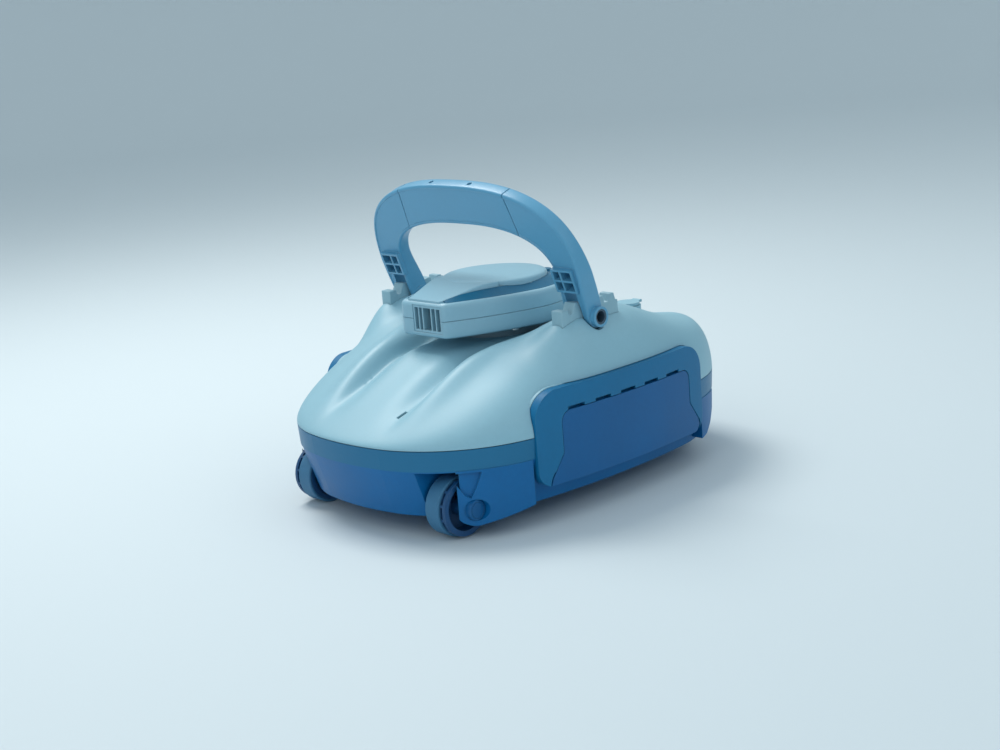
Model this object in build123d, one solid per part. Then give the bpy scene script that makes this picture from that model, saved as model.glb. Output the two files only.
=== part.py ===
from build123d import *
import math
import os

# A cordless pool cleaner. Millimetres, front towards -Y, +Z up, wheels standing on Z = 0.
# The origin is on the floor, under the middle of the body.

# Body: both housings share one plan of tangent arcs, a flat one at each end and side and a round one at each corner.
HALF_WIDTH = 139
HALF_LENGTH = 194
END_R = 240
SIDE_R = 700
CORNER_R = 110
WALL = 2.6
FLOOR_Z = 18
BELT_Z = 58
SPLIT_Z = 75
FLOOR_INSET = 13
SEAM = 0.6

# Front wheels, each between the body and a fender arm
WHEEL_R = 25
WHEEL_Y = -149
WHEEL_IN = 75
WHEEL_OUT = 97
ARM_IN = 100
AXLE_R = 4
RUN_GAP = 0.05

# Rear wheels, under the tail
REAR_R = 20
REAR_Y = 140
REAR_IN = 38
REAR_OUT = 56

# Side panels: a fixed frame with a flap hinged along its bottom
PANEL_PROUD = 1.8
PANEL_DEPTH = 6
FLAP_DEPTH = 3
PANEL_FRONT = -101
PANEL_REAR = 106
PANEL_LOW = 32
PANEL_HIGH = 111
HINGE_X = 131.5
HINGE_Z = 37

# Handle: an arch on two forked legs, leaning forward at rest
PIVOT_Y = -9
PIVOT_Z = 155
LEAN = 20
PIN_R = 6.4
BRACKET_IN = 102
BRACKET_OUT = 114

# Head: the pump and control pod on the middle of the top
HEAD_LOW = 143
HEAD_SEAM = 158
HEAD_HIGH = 173
HEAD_FRONT = -94
HEAD_REAR = 70
HEAD_CENTRE_Y = -7

# Suction mouth in the floor
MOUTH_X = 62
MOUTH_Y = 17

INLET_TOP = 34
INLET_PIN_Y = 13
INLET_PIN_Z = 36.5

REAR_AXLE_R = 3
HINGE_R = 1.6
KNUCKLE_R = 2.9
BRACKET_BASE = 146

# Inside the head and under it
COLUMN_R = 36
MOTOR_R = 24
SHAFT_R = 2.5
DECK_R = 46
DECK_Z = 184
BUTTON_Y = 55
BUTTON_R = 6
HEAD_BOSSES = [(sx * 47, y) for sx in (-1, 1) for y in (-32, 16)]
FLOW_FLAPS = (-66, 42)
FLAP_PIN_Z = 166
BATTERY = ((-44, 92, 80), (44, 142, 105))
PORT_Y = 162
PORT_Z = 121

nodes = {}


# Basic shapes
def block(low, high):
    size = [b - a for a, b in zip(low, high)]
    centre = [(a + b) / 2 for a, b in zip(low, high)]
    return Pos(*centre) * Box(*size)


def rod_x(x0, x1, y, z, radius):
    return Pos((x0 + x1) / 2, y, z) * Rot(0, 90, 0) * Cylinder(radius, abs(x1 - x0))


def rod_y(x, y0, y1, z, radius):
    return Pos(x, (y0 + y1) / 2, z) * Rot(90, 0, 0) * Cylinder(radius, abs(y1 - y0))


def rod_z(x, y, z0, z1, radius):
    return Pos(x, y, (z0 + z1) / 2) * Cylinder(radius, abs(z1 - z0))


def group(shapes):
    """Separate solids as one node, such as a set of screws."""
    return Compound(children=[solid for shape in shapes for solid in shape.solids()])


def left_of(shape):
    return mirror(shape, about=Plane.YZ)


# Body plan and dome
def corner_centre():
    """Centre of the corner arc that is tangent inside both the end arc and the side arc."""
    end_y = HALF_LENGTH - END_R
    side_x = HALF_WIDTH - SIDE_R
    span = math.hypot(side_x, end_y)
    near, far = END_R - CORNER_R, SIDE_R - CORNER_R
    along = (near**2 - far**2 + span**2) / (2 * span)
    off = math.sqrt(near**2 - along**2)
    ux, uy = side_x / span, -end_y / span
    return ux * along + uy * off, end_y + uy * along - ux * off


def tangent_point(centre, radius, inset):
    """Where the arc about a centre meets the corner arc, both pulled in by the inset."""
    dx, dy = CORNER[0] - centre[0], CORNER[1] - centre[1]
    reach = (radius - inset) / math.hypot(dx, dy)
    return centre[0] + dx * reach, centre[1] + dy * reach


END_CENTRE = (0, HALF_LENGTH - END_R)
SIDE_CENTRE = (HALF_WIDTH - SIDE_R, 0)
CORNER = corner_centre()


def plan_face(inset, z):
    """The plan as eight tangent arcs."""
    ex, ey = tangent_point(END_CENTRE, END_R, inset)
    sx, sy = tangent_point(SIDE_CENTRE, SIDE_R, inset)
    mid_x, mid_y = (ex + sx) / 2 - CORNER[0], (ey + sy) / 2 - CORNER[1]
    bulge = (CORNER_R - inset) / math.hypot(mid_x, mid_y)
    cx, cy = CORNER[0] + mid_x * bulge, CORNER[1] + mid_y * bulge
    tip_x, tip_y = HALF_WIDTH - inset, HALF_LENGTH - inset
    quarter = [(ex, ey), (cx, cy), (sx, sy)]
    loop = [(0, tip_y), *quarter, (tip_x, 0)]
    loop += [(x, -y) for x, y in reversed(quarter)] + [(0, -tip_y)]
    loop += [(-x, -y) for x, y in quarter] + [(-tip_x, 0)]
    loop += [(-x, y) for x, y in reversed(quarter)] + [(0, tip_y)]
    loop = loop[1:-1] + loop[:2]
    arcs = [ThreePointArc(*[(x, y, z) for x, y in loop[i : i + 3]]) for i in range(0, len(loop) - 1, 2)]
    return make_face(Wire(arcs))


def plan_prism(inset, z0, z1):
    return extrude(plan_face(inset, z0), z1 - z0, dir=(0, 0, 1))


def plan_loft(levels):
    return loft([plan_face(inset, z) for inset, z in levels], ruled=True)


# The top, seen from the side and from the front: the dome lies below both lines and inside the rounded plan.
SIDE_LINE = [(-194, 86), (-184, 91), (-150, 107), (-79, 129), (-19, 151), (5, 157), (27, 159), (45, 156)]
SIDE_LINE += [(72, 143), (100, 128), (130, 121), (176, 117), (188, 106), (194, 92)]
FRONT_LINE = [(0, 133), (52, 133), (64, 139), (80, 154), (90, 158), (104, 158), (139, 150)]
EDGE_LEVELS = [(0, SPLIT_Z + SEAM), (0.6, 98), (5, 113), (13, 128), (24, 142), (38, 153), (60, 165)]


def dome(thickness=0.0):
    """Solid dome over the plan; with a thickness it is the hollow that leaves a skin of that much."""
    body = plan_loft([(inset + thickness, z - thickness) for inset, z in EDGE_LEVELS])
    side = [(y, z - thickness) for y, z in SIDE_LINE]
    front = [(x, z - thickness) for x, z in FRONT_LINE]
    front = [(-x, z) for x, z in reversed(front[1:])] + front
    under_side = make_face(Polyline((-200, 60), (-200, side[0][1] - 5), *side, (200, 60), close=True))
    under_front = make_face(Polyline((-145, 60), (-145, 140), *front, (145, 140), (145, 60), close=True))
    body &= extrude(Plane.YZ * under_side, 150, both=True)
    return body & extrude(Plane.XZ * under_front, 210, both=True)


def panel_outline(grow=0.0):
    """The side panel's outline as a bar along X, rounded more at the top than at the bottom."""
    y0, y1 = PANEL_FRONT - grow, PANEL_REAR + grow
    z0, z1 = PANEL_LOW - grow, PANEL_HIGH + grow
    sketch = Pos((y0 + y1) / 2, (z0 + z1) / 2) * Rectangle(y1 - y0, z1 - z0)
    corners = sketch.vertices().sort_by(Axis.Y)
    sketch = fillet(corners[:2], 15)
    sketch = fillet(sketch.vertices().sort_by(Axis.Y)[-2:], 24)
    return extrude(Plane.YZ.offset(100) * sketch, 60)


def panel_ring(inset_out, inset_in, outline):
    """A curved plate between two insets of the plan, trimmed to an outline."""
    low, high = PANEL_LOW - 20, PANEL_HIGH + 10
    return (plan_prism(inset_out, low, high) - plan_prism(inset_in, low - 1, high + 1)) & outline


# Lower housing
def fender_block():
    """Right side fenders: the front one carries the wheel's axle, the rear one rises to the tail."""
    front = [(-175, BELT_Z), (-104, BELT_Z), (-104, 21), (WHEEL_Y + 1.5, 12.1), (WHEEL_Y - 13, WHEEL_R)]
    rear = [(107, BELT_Z), (107, 22), (117, 24), (127, 31), (136, 42), (141, BELT_Z)]
    bars = []
    for outline in (front, rear):
        face = make_face(Polyline(*outline, close=True))
        bars.append(extrude(Plane.YZ.offset(ARM_IN) * face, 45))
    arm_end = rod_x(ARM_IN, ARM_IN + 45, WHEEL_Y, WHEEL_R, 13)
    bars = bars[0] + arm_end + bars[1]
    return bars & plan_prism(0.4, 5, BELT_Z + 1)


def arch_cut():
    """Space round the right front wheel, open at the front and below."""
    bay = block((WHEEL_IN - 3, -200, -1), (ARM_IN, WHEEL_Y, BELT_Z - 1))
    back = block((WHEEL_IN - 3, WHEEL_Y, -1), (ARM_IN, WHEEL_Y + 29, WHEEL_R))
    return bay + back + rod_x(WHEEL_IN - 3, ARM_IN, WHEEL_Y, WHEEL_R, 29)


def arm_pocket():
    """The pointed hollow between the two ribs of the fender arm."""
    outline = Polyline((-13, BELT_Z - 2), (9, BELT_Z - 2), (4, 44), (-1, 35), (-6, 38), (-12, 47), close=True)
    corner = Plane(origin=(108, -151.5, 0), x_dir=(0.6, 0.8, 0), z_dir=(0.8, -0.6, 0))
    return extrude(corner.offset(-3) * make_face(outline), 14)


def rear_bay(grow=0.0):
    low = (REAR_IN - 3 - grow, REAR_Y - REAR_R - 4 - grow, FLOOR_Z - 6)
    high = (REAR_OUT + 3 + grow, REAR_Y + REAR_R + 4 + grow, 2 * REAR_R + 4 + grow)
    return block(low, high)


def make_lower_housing():
    outside = plan_loft([(FLOOR_INSET, FLOOR_Z), (1, BELT_Z), (0, SPLIT_Z)])
    hollow = plan_loft([(FLOOR_INSET + WALL, FLOOR_Z + WALL), (1 + WALL, BELT_Z), (WALL, SPLIT_Z + 1)])
    front_bay = block((WHEEL_IN - 3 - WALL, -200, 0), (145, WHEEL_Y + 29 + WALL, BELT_Z - 1 + WALL))
    for side in (Pos(0, 0, 0), None):
        for bay in (front_bay, rear_bay(WALL)):
            hollow -= bay if side else left_of(bay)
    shell = outside - hollow
    fenders = fender_block()
    shell += fenders + left_of(fenders)
    seat = panel_ring(PANEL_DEPTH, PANEL_DEPTH + 3, panel_outline())
    seat = seat & block((100, -150, 44), (145, 150, SPLIT_Z))
    right_cuts = [arch_cut(), arm_pocket(), rear_bay(), panel_ring(-3, PANEL_DEPTH, panel_outline())]
    right_cuts.append(rod_x(ARM_IN - 1, ARM_IN + 5, WHEEL_Y, WHEEL_R, AXLE_R))
    right_cuts.append(rod_x(ARM_IN + 5, 130, WHEEL_Y, WHEEL_R, 8.6))
    right_cuts.append(rod_x(60, ARM_IN, WHEEL_Y, WHEEL_R, AXLE_R))
    for cut in right_cuts:
        shell = shell - cut - left_of(cut)
    shell += seat + left_of(seat)
    mouth = block((-MOUTH_X, -MOUTH_Y, 0), (MOUTH_X, MOUTH_Y, 30))
    shell -= mouth
    hinge_groove = rod_y(HINGE_X, -62, 62, HINGE_Z, 3.6)
    for y in (-56, 56):
        hinge_groove += block((HINGE_X - 1.6, y - 3, HINGE_Z), (HINGE_X + 4, y + 3, HINGE_Z + 7.2))
    axle_bore = rod_x(-70, 70, REAR_Y, REAR_R, REAR_AXLE_R)
    return shell - hinge_groove - left_of(hinge_groove) - axle_bore


def make_rim_seal():
    strip = plan_prism(0.9, SPLIT_Z, SPLIT_Z + SEAM - 0.1) - plan_prism(WALL, SPLIT_Z - 1, SPLIT_Z + 1)
    gap = block((115, PANEL_FRONT - 1, SPLIT_Z - 1), (145, PANEL_REAR + 1, SPLIT_Z + 1))
    return group([strip - gap - left_of(gap)])


# Side panels
def flap_outline(grow=0.0):
    points = [(-89, 32), (-87, 38), (-74, 57), (-74, 91), (86, 91), (86, 60), (98, 44), (100, 38), (95, 32)]
    sketch = make_face(Polyline(*points, close=True))
    top = [v for v in sketch.vertices() if v.Y > 90]
    sketch = fillet(top, 9)
    if grow:
        sketch = offset(sketch, grow)
    return extrude(Plane.YZ.offset(100) * sketch, 60)


def make_side_frame():
    frame = panel_ring(-PANEL_PROUD, PANEL_DEPTH, panel_outline())
    frame -= panel_ring(-PANEL_PROUD - 2, FLAP_DEPTH, flap_outline(0.6))
    frame -= block((100, -90.5, PANEL_LOW - 3), (145, 101, HINGE_Z + 6)) & flap_outline(1.5)
    for i in range(5):
        y = -58 + i * 30
        frame -= block((133, y - 9, 91), (145, y + 9, 94)) & panel_ring(-4, FLAP_DEPTH + 1, panel_outline(-4))
    for y in (-56, 56):
        knuckle = rod_y(HINGE_X, y - 2.5, y + 2.5, HINGE_Z, KNUCKLE_R)
        knuckle += block((HINGE_X - 1.2, y - 2.5, HINGE_Z), (HINGE_X + 1.8, y + 2.5, HINGE_Z + 7))
        frame += knuckle
    return frame - rod_y(HINGE_X, -70, 70, HINGE_Z, HINGE_R)


def make_flap():
    flap = panel_ring(0.2 - PANEL_PROUD, FLAP_DEPTH - 0.4, flap_outline()) & panel_outline(-0.1)
    for y in (-47, 47):
        lug = rod_y(HINGE_X, y - 4, y + 4, HINGE_Z, KNUCKLE_R)
        flap += lug + block((HINGE_X, y - 4, HINGE_Z - 2.4), (HINGE_X + 4.4, y + 4, HINGE_Z + 2.4))
    for y in (-56, 56):
        flap -= rod_y(HINGE_X, y - 3, y + 3, HINGE_Z, KNUCKLE_R + 1.2)
        flap -= block((HINGE_X, y - 3, HINGE_Z - 4), (HINGE_X + 2.6, y + 3, HINGE_Z + 10))
    return flap - rod_y(HINGE_X, -70, 70, HINGE_Z, HINGE_R + RUN_GAP)


# Wheels
def ring_x(x0, x1, y, z, inner, outer):
    return rod_x(x0, x1, y, z, outer) - rod_x(x0 - 1, x1 + 1, y, z, inner)


def make_front_wheel():
    """Rim, web and hub in one moulding, with an open row of windows behind the outer ring."""
    y, z = WHEEL_Y, WHEEL_R
    wheel = ring_x(WHEEL_IN, WHEEL_OUT - 3, y, z, 19, 20.8)
    wheel += ring_x(WHEEL_IN, WHEEL_OUT - 6, y, z, 19, 22.6)
    wheel += ring_x(WHEEL_OUT - 3, WHEEL_OUT, y, z, 19, 23.6)
    wheel += rod_x(WHEEL_IN + 8, WHEEL_IN + 11, y, z, 20)
    wheel += rod_x(WHEEL_IN - 1, ARM_IN - 2, y, z, 7.5)
    for i in range(12):
        rib = block((WHEEL_OUT - 6, -1, 20), (WHEEL_OUT - 3, 1, 23.4))
        wheel += Pos(0, y, z) * Rot(30 * i + 15, 0, 0) * rib
    return wheel - rod_x(WHEEL_IN - 5, ARM_IN, y, z, AXLE_R + RUN_GAP)


def make_front_tyre():
    tyre = ring_x(WHEEL_IN, WHEEL_OUT - 6.4, WHEEL_Y, WHEEL_R, 22.6, WHEEL_R)
    return fillet(tyre.edges().filter_by(GeomType.CIRCLE).group_by(SortBy.LENGTH)[-1], 1)


def make_rear_wheel():
    wheel = rod_x(REAR_IN + 1, REAR_OUT - 1, REAR_Y, REAR_R, REAR_R - 3)
    wheel -= ring_x(REAR_OUT - 6, REAR_OUT + 1, REAR_Y, REAR_R, 6, 13)
    wheel -= ring_x(REAR_IN - 1, REAR_IN + 6, REAR_Y, REAR_R, 6, 13)
    return wheel - rod_x(REAR_IN - 1, REAR_OUT + 1, REAR_Y, REAR_R, REAR_AXLE_R + RUN_GAP)


def make_rear_tyre():
    tyre = ring_x(REAR_IN + 1, REAR_OUT - 1, REAR_Y, REAR_R, REAR_R - 3, REAR_R)
    return fillet(tyre.edges().filter_by(GeomType.CIRCLE).group_by(SortBy.LENGTH)[-1], 1.2)


# Suction mouth and filter
def make_inlet_frame():
    duct = block((-MOUTH_X, -MOUTH_Y, 12), (MOUTH_X, MOUTH_Y, INLET_TOP))
    duct += block((-MOUTH_X - 5, -MOUTH_Y - 5, FLOOR_Z + WALL), (MOUTH_X + 5, MOUTH_Y + 5, FLOOR_Z + WALL + 2))
    duct -= block((2 - MOUTH_X, 2 - MOUTH_Y, 0), (MOUTH_X - 2, MOUTH_Y - 2, 50))
    for side in (-1, 1):
        x = side * (MOUTH_X - 8)
        duct += block((x - 2, MOUTH_Y - 5, INLET_TOP - 3), (x + 2, MOUTH_Y, INLET_TOP + 5))
    return duct - rod_x(-70, 70, INLET_PIN_Y, INLET_PIN_Z, 1.2)


def make_inlet_flap():
    flap = block((1 - MOUTH_X, -MOUTH_Y + 0.5, INLET_TOP + 0.3), (MOUTH_X - 1, MOUTH_Y - 6, INLET_TOP + 2.1))
    for side in (-1, 1):
        x = side * (MOUTH_X - 14)
        flap += block((x - 3, MOUTH_Y - 8, INLET_TOP + 0.3), (x + 3, INLET_PIN_Y, INLET_TOP + 2.1))
        flap += rod_x(x - 3, x + 3, INLET_PIN_Y, INLET_PIN_Z, 2.2)
    return flap - rod_x(-70, 70, INLET_PIN_Y, INLET_PIN_Z, 1.2 + RUN_GAP)


BASKET = ((-88, -72, 23), (88, 84, 98))


def basket_shell(wall, low_lift):
    low, high = BASKET
    outer = block(low, high)
    inner = block((low[0] + wall, low[1] + wall, low[2] + low_lift), (high[0] - wall, high[1] - wall, high[2] + 1))
    return outer - inner


def make_filter_basket():
    """Open-topped basket of ribs: a floor, four posts, a rim and bars between them."""
    low, high = BASKET
    basket = basket_shell(3, 2)
    for i in range(5):
        x = -68 + 34 * i
        basket -= block((x - 14, -100, low[2] + 8), (x + 14, 100, high[2] - 8))
    for i in range(4):
        y = -52 + 38 * i + 1
        basket -= block((-100, y - 16, low[2] + 8), (100, y + 16, high[2] - 8))
    rim = block((low[0] - 3, low[1] - 3, high[2] - 3), (high[0] + 3, high[1] + 3, high[2]))
    basket += rim - block((low[0] + 3, low[1] + 3, 0), (high[0] - 3, high[1] - 3, 120))
    hole = block((-MOUTH_X - 1.5, -MOUTH_Y - 1.5, 0), (MOUTH_X + 1.5, MOUTH_Y + 1.5, 40))
    return basket - hole - block((-MOUTH_X - 6, -MOUTH_Y - 6, 0), (MOUTH_X + 6, MOUTH_Y + 6, low[2] + 0.2))


def make_filter_mesh():
    low, high = BASKET
    outer = block((low[0] + 3, low[1] + 3, low[2] + 2), (high[0] - 3, high[1] - 3, high[2] - 4))
    inner = block((low[0] + 3.6, low[1] + 3.6, 0), (high[0] - 3.6, high[1] - 3.6, 120))
    return outer - inner


# Upper housing
def bracket_seat():
    """Solid ground under the right handle bracket, between the dome's skin and the bracket's base."""
    low = (BRACKET_IN - 6, PIVOT_Y - 38, 118)
    return block(low, (BRACKET_OUT + 4, PIVOT_Y + 40, BRACKET_BASE)) & dome(1)


def make_upper_housing():
    """The domed lid: skin, panel seats, bracket footings, pump opening, drain slot and charge port."""
    pocket = panel_ring(-4, PANEL_DEPTH + 0.4, panel_outline(0.4))
    base = block((BRACKET_IN - 0.2, PIVOT_Y - 35, BRACKET_BASE), (BRACKET_OUT + 0.2, PIVOT_Y + 37, 180))
    inner_cheek = rod_x(94.4, BRACKET_IN - 0.2, PIVOT_Y, PIVOT_Z, 11.5)
    outer_cheek = rod_x(BRACKET_OUT + 0.2, 130, PIVOT_Y, PIVOT_Z, 11.5)
    seat = panel_ring(PANEL_DEPTH + 0.4, PANEL_DEPTH + 3, panel_outline(0.4))
    seat &= block((100, -150, SPLIT_Z + SEAM), (145, 150, PANEL_HIGH + 0.4))
    footing = bracket_seat()
    port = rod_z(0, PORT_Y, PORT_Z - 22, PORT_Z, 13.2)
    column = rod_z(0, HEAD_CENTRE_Y, 100, 180, COLUMN_R)
    drain = Pos(38, -158, 98) * Rot(0, 0, -12) * Box(9, 3, 30)
    shell = dome() - dome(WALL)
    for cut in (pocket, left_of(pocket), column, drain):
        shell -= cut
    for part in (seat, left_of(seat), footing, left_of(footing), port):
        shell += part
    for cut in (base, inner_cheek, outer_cheek):
        shell = shell - cut - left_of(cut)
    tube_way = rod_x(-130, 130, PIVOT_Y, PIVOT_Z, PIN_R + 0.2)
    return shell - tube_way - rod_z(0, PORT_Y, PORT_Z - 12, PORT_Z + 1, 9.5)


def make_bracket():
    """Right bracket: a thin wall with a low and a tall horn on each side of its pivot hub."""
    front = [(-34, BRACKET_BASE), (-34, 164.5), (-28, 164.5), (-27, 160), (-24, 160), (-22, 169), (-13, 167)]
    right = [(-y, z) for y, z in reversed(front)]
    wall = make_face(Polyline(*front, *right, close=True))
    wall = extrude(Plane.YZ.offset(BRACKET_IN) * Pos(PIVOT_Y, 0) * wall, BRACKET_OUT - BRACKET_IN)
    return wall - rod_x(90, 130, PIVOT_Y, PIVOT_Z, PIN_R)


def make_handle_pin():
    pin = ring_x(97, 125.5, PIVOT_Y, PIVOT_Z, PIN_R - 1.6, PIN_R)
    return pin


# Handle, drawn upright about its pivot and then leaned forward
ARCH_OUT = (125, 80, 40)
ARCH_IN = (97, 48, 35)
ARCH_POWER = 2.6
GRIP_HALF = 67


def arch_points(arch, count=14):
    """Half of a superellipse standing on its spring line, from +X round to -X."""
    width, rise, spring = arch
    points = []
    for i in range(count + 1):
        angle = math.pi * i / count
        c, s = math.cos(angle), math.sin(angle)
        reach = (abs(c / width) ** ARCH_POWER + abs(s / rise) ** ARCH_POWER) ** (-1 / ARCH_POWER)
        points.append((reach * c, spring + reach * s))
    return points


def handle_blank():
    outer = arch_points(ARCH_OUT)
    inner = arch_points(ARCH_IN)
    edges = [Spline(*outer), Spline(*reversed(inner))]
    foot_out, foot_in = (121, 0), (95.6, 0)
    left_out, left_in = (-121, 0), (-95.6, 0)
    edges.append(Polyline(outer[-1], left_out, left_in, inner[-1]))
    edges.append(Polyline(inner[0], foot_in, foot_out, outer[0]))
    arch = extrude(Plane.XZ * make_face(edges), 12, both=True)
    side = [(-9.5, 0), (-9.5, 16), (-6.5, 62), (-6.5, 125), (6.5, 125), (6.5, 62), (9.5, 16), (9.5, 0)]
    side = extrude(Plane.YZ * make_face(Polyline(*side, close=True)), 140, both=True)
    return arch & side


def lean(shape):
    return Pos(0, PIVOT_Y, PIVOT_Z) * Rot(LEAN, 0, 0) * shape


def make_grip():
    return lean(handle_blank() & block((-GRIP_HALF, -20, 60), (GRIP_HALF, 20, 130)))


def make_leg():
    """Right leg: a hollow-fronted arm that forks over the bracket and turns on the pivot tube."""
    leg = handle_blank() & block((GRIP_HALF, -20, 0), (140, 20, 130))
    leg += rod_x(95.6, 101, 0, 0, 9.5) + rod_x(115, 121, 0, 0, 9.5) + rod_x(121, 126, 0, 0, 8.6)
    leg -= block((101, -20, -12), (115, 20, 27))
    leg -= block((101, -20, 29.5), (116, -4, 37)) + block((101, -20, 39), (116, -4, 47))
    return lean(leg - rod_x(90, 130, 0, 0, PIN_R + RUN_GAP))


def make_handle_screws():
    screws = []
    for x in (-24, 24):
        screws.append(lean(rod_z(x, 0, 98, 117.4, 2.2)))
    return group(screws)


def screw_holes():
    return lean(rod_z(-24, 0, 98, 125, 2.2) + rod_z(24, 0, 98, 125, 2.2))


# Head
def head_outline(inset=0.0):
    nose, waist, tail = (27, HEAD_FRONT), (60, -5), (27, HEAD_REAR)
    right = [ThreePointArc(nose, (47.5, -52), waist), ThreePointArc(waist, (50, 38), tail)]
    left = [mirror(arc, about=Plane.YZ) for arc in right]
    ends = [Line(nose, (-27, HEAD_FRONT)), Line(tail, (-27, HEAD_REAR))]
    face = make_face(right + left + ends)
    return offset(face, -inset) if inset else face


def head_prism(inset, z0, z1):
    return Pos(0, 0, z0) * extrude(head_outline(inset), z1 - z0)


NOZZLES = ((-12, 27 - 3.5, HEAD_FRONT, 1), (-20, 20, HEAD_REAR, -1))


def nozzle_hole(grow=0.0):
    holes = []
    for x0, x1, y, inward in NOZZLES:
        ys = sorted((y - inward * 4, y + inward * 12))
        holes.append(block((x0 - grow, ys[0], 147 - grow), (x1 + grow, ys[1], 170 + grow)))
    return holes


def make_head_lower():
    shell = head_prism(0, HEAD_LOW, HEAD_SEAM) - head_prism(2.5, HEAD_LOW + 2.5, HEAD_SEAM + 1)
    shell -= rod_z(0, HEAD_CENTRE_Y, 100, 180, COLUMN_R)
    for hole in nozzle_hole():
        shell -= hole
    for x, y in HEAD_BOSSES:
        shell += rod_z(x, y, HEAD_LOW + 1, HEAD_SEAM, 4)
        shell -= rod_z(x, y, HEAD_LOW - 1, HEAD_SEAM + 1, 1.7)
    return shell


def make_head_upper():
    shell = head_prism(0, HEAD_SEAM + 0.3, HEAD_HIGH) - head_prism(2.5, HEAD_SEAM, HEAD_HIGH - 2.5)
    for hole in nozzle_hole():
        shell -= hole
    for x, y in HEAD_BOSSES:
        shell += rod_z(x, y, HEAD_SEAM + 0.3, HEAD_HIGH - 1, 4)
        shell -= rod_z(x, y, HEAD_SEAM - 1, HEAD_SEAM + 9, 1.5)
    return shell - rod_z(0, BUTTON_Y, HEAD_HIGH - 4, HEAD_HIGH + 4, BUTTON_R + 0.3)


def make_head_screws():
    screws = []
    for x, y in HEAD_BOSSES:
        screws.append(rod_z(x, y, HEAD_LOW, HEAD_SEAM + 7, 1.5) + rod_z(x, y, HEAD_LOW - 1.6, HEAD_LOW, 3))
    return group(screws)


def make_nozzle_grille(index):
    """A louvred insert: a frame with upright bars, one gap wider than the rest."""
    x0, x1, y, inward = NOZZLES[index]
    ys = sorted((y + inward * 0.6, y + inward * 9))
    grille = block((x0 + 0.1, ys[0], 147.1), (x1 - 0.1, ys[1], 169.9))
    gaps = (4.3, 3.6, 9.3, 4.3, 4.7) if index == 0 else (6, 6, 6, 6)
    rib = (x1 - x0 - 4 - sum(gaps)) / (len(gaps) - 1)
    x = x0 + 2
    for gap in gaps:
        grille -= block((x, -200, 149), (x + gap, 200, 168))
        x += gap + rib
    return grille


def tongue(grow, height):
    """The flat strip from the deck's round cover out to the front nozzle, a little wider at the cover."""
    front, back = HEAD_FRONT + 4 - 2 * grow, HEAD_CENTRE_Y - 28
    near, far = 20 + grow, 30 + grow
    outline = Polyline((-near, front), (near, front), (far, back), (-far, back), close=True)
    return Pos(0, 0, HEAD_HIGH) * extrude(make_face(outline), height)


def make_top_deck():
    """The raised lid of the head: a round cover with a tongue that runs out to the front nozzle."""
    disc = rod_z(0, HEAD_CENTRE_Y, HEAD_HIGH, DECK_Z, DECK_R)
    disc = fillet(disc.edges().group_by(Axis.Z)[-1], 3)
    return disc + tongue(0, 5) - rod_z(0, HEAD_CENTRE_Y, HEAD_HIGH - 1, DECK_Z - 3, DECK_R - 4)


def make_head_accent():
    band = head_prism(5, HEAD_HIGH, HEAD_HIGH + 3) - rod_z(0, HEAD_CENTRE_Y, 170, 180, DECK_R + 0.3)
    band -= tongue(0.3, 5)
    return group([band - block((-20, HEAD_CENTRE_Y, 170), (20, 100, 180))])


def make_power_button():
    return rod_z(0, BUTTON_Y, HEAD_HIGH - 5, HEAD_HIGH + 2.4, BUTTON_R)


def make_flow_flap(y):
    """A flap that hangs behind a nozzle and swings out on the jet."""
    flap = block((-21.6, y - 0.8, 147), (21.6, y + 0.8, FLAP_PIN_Z)) + rod_x(-21.6, 21.6, y, FLAP_PIN_Z, 1.9)
    return flap - rod_x(-30, 30, y, FLAP_PIN_Z, 1 + RUN_GAP)


def make_flow_flap_pins():
    return group([rod_x(-24.5, 24.5, y, FLAP_PIN_Z, 1) for y in FLOW_FLAPS])


def make_jet_duct():
    """Side walls of the water way through the head, with the sockets of both flap pins."""
    walls = []
    for side in (-1, 1):
        for y in FLOW_FLAPS:
            wall = block((23 * side - 1, y - 12, 146), (23 * side + 1, y + 6, HEAD_HIGH - 3.2))
            walls.append(wall - rod_x(-30, 30, y, FLAP_PIN_Z, 1))
    return group(walls)


# Pump column, motor and impeller
def make_pump_column():
    column = rod_z(0, HEAD_CENTRE_Y, 104, HEAD_LOW + 2.5, COLUMN_R) - rod_z(0, HEAD_CENTRE_Y, 100, 150, COLUMN_R - WALL)
    column += rod_z(0, HEAD_CENTRE_Y, 124, 127, COLUMN_R + 6) - rod_z(0, HEAD_CENTRE_Y, 100, 150, COLUMN_R - WALL)
    for i in range(3):
        spoke = Rot(0, 0, 120 * i + 30) * Pos(29, 0, 112) * Box(13, 3, 14)
        column += Pos(0, HEAD_CENTRE_Y, 0) * spoke
    return column - rod_z(0, HEAD_CENTRE_Y, 100, 150, MOTOR_R)


def make_motor_can():
    can = rod_z(0, HEAD_CENTRE_Y, 105, 138, MOTOR_R)
    can = fillet(can.edges().group_by(Axis.Z)[0], 6)
    can -= rod_z(0, HEAD_CENTRE_Y, 108, 135, MOTOR_R - 3)
    return can - rod_z(0, HEAD_CENTRE_Y, 130, 140, SHAFT_R + 0.05)


def make_motor_shaft():
    rotor = rod_z(0, HEAD_CENTRE_Y, 111, 130, 15)
    return rotor + rod_z(0, HEAD_CENTRE_Y, 109.5, 156, SHAFT_R)


def make_impeller():
    """A hub and three twisted blades, each a wall swept up and round by a straight loft."""
    wheel = rod_z(0, 0, 142, 157, 8) - rod_z(0, 0, 140, 160, SHAFT_R)
    for i in range(3):
        sections = []
        for z, turn in ((143, 0), (149.5, 30), (156, 60)):
            sections.append(Pos(0, 0, z) * Rot(0, 0, turn + 120 * i) * Pos(17.5, 0, 0) * Rectangle(23, 2))
        wheel += loft(sections)
    return Pos(0, HEAD_CENTRE_Y, 0) * wheel


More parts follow.
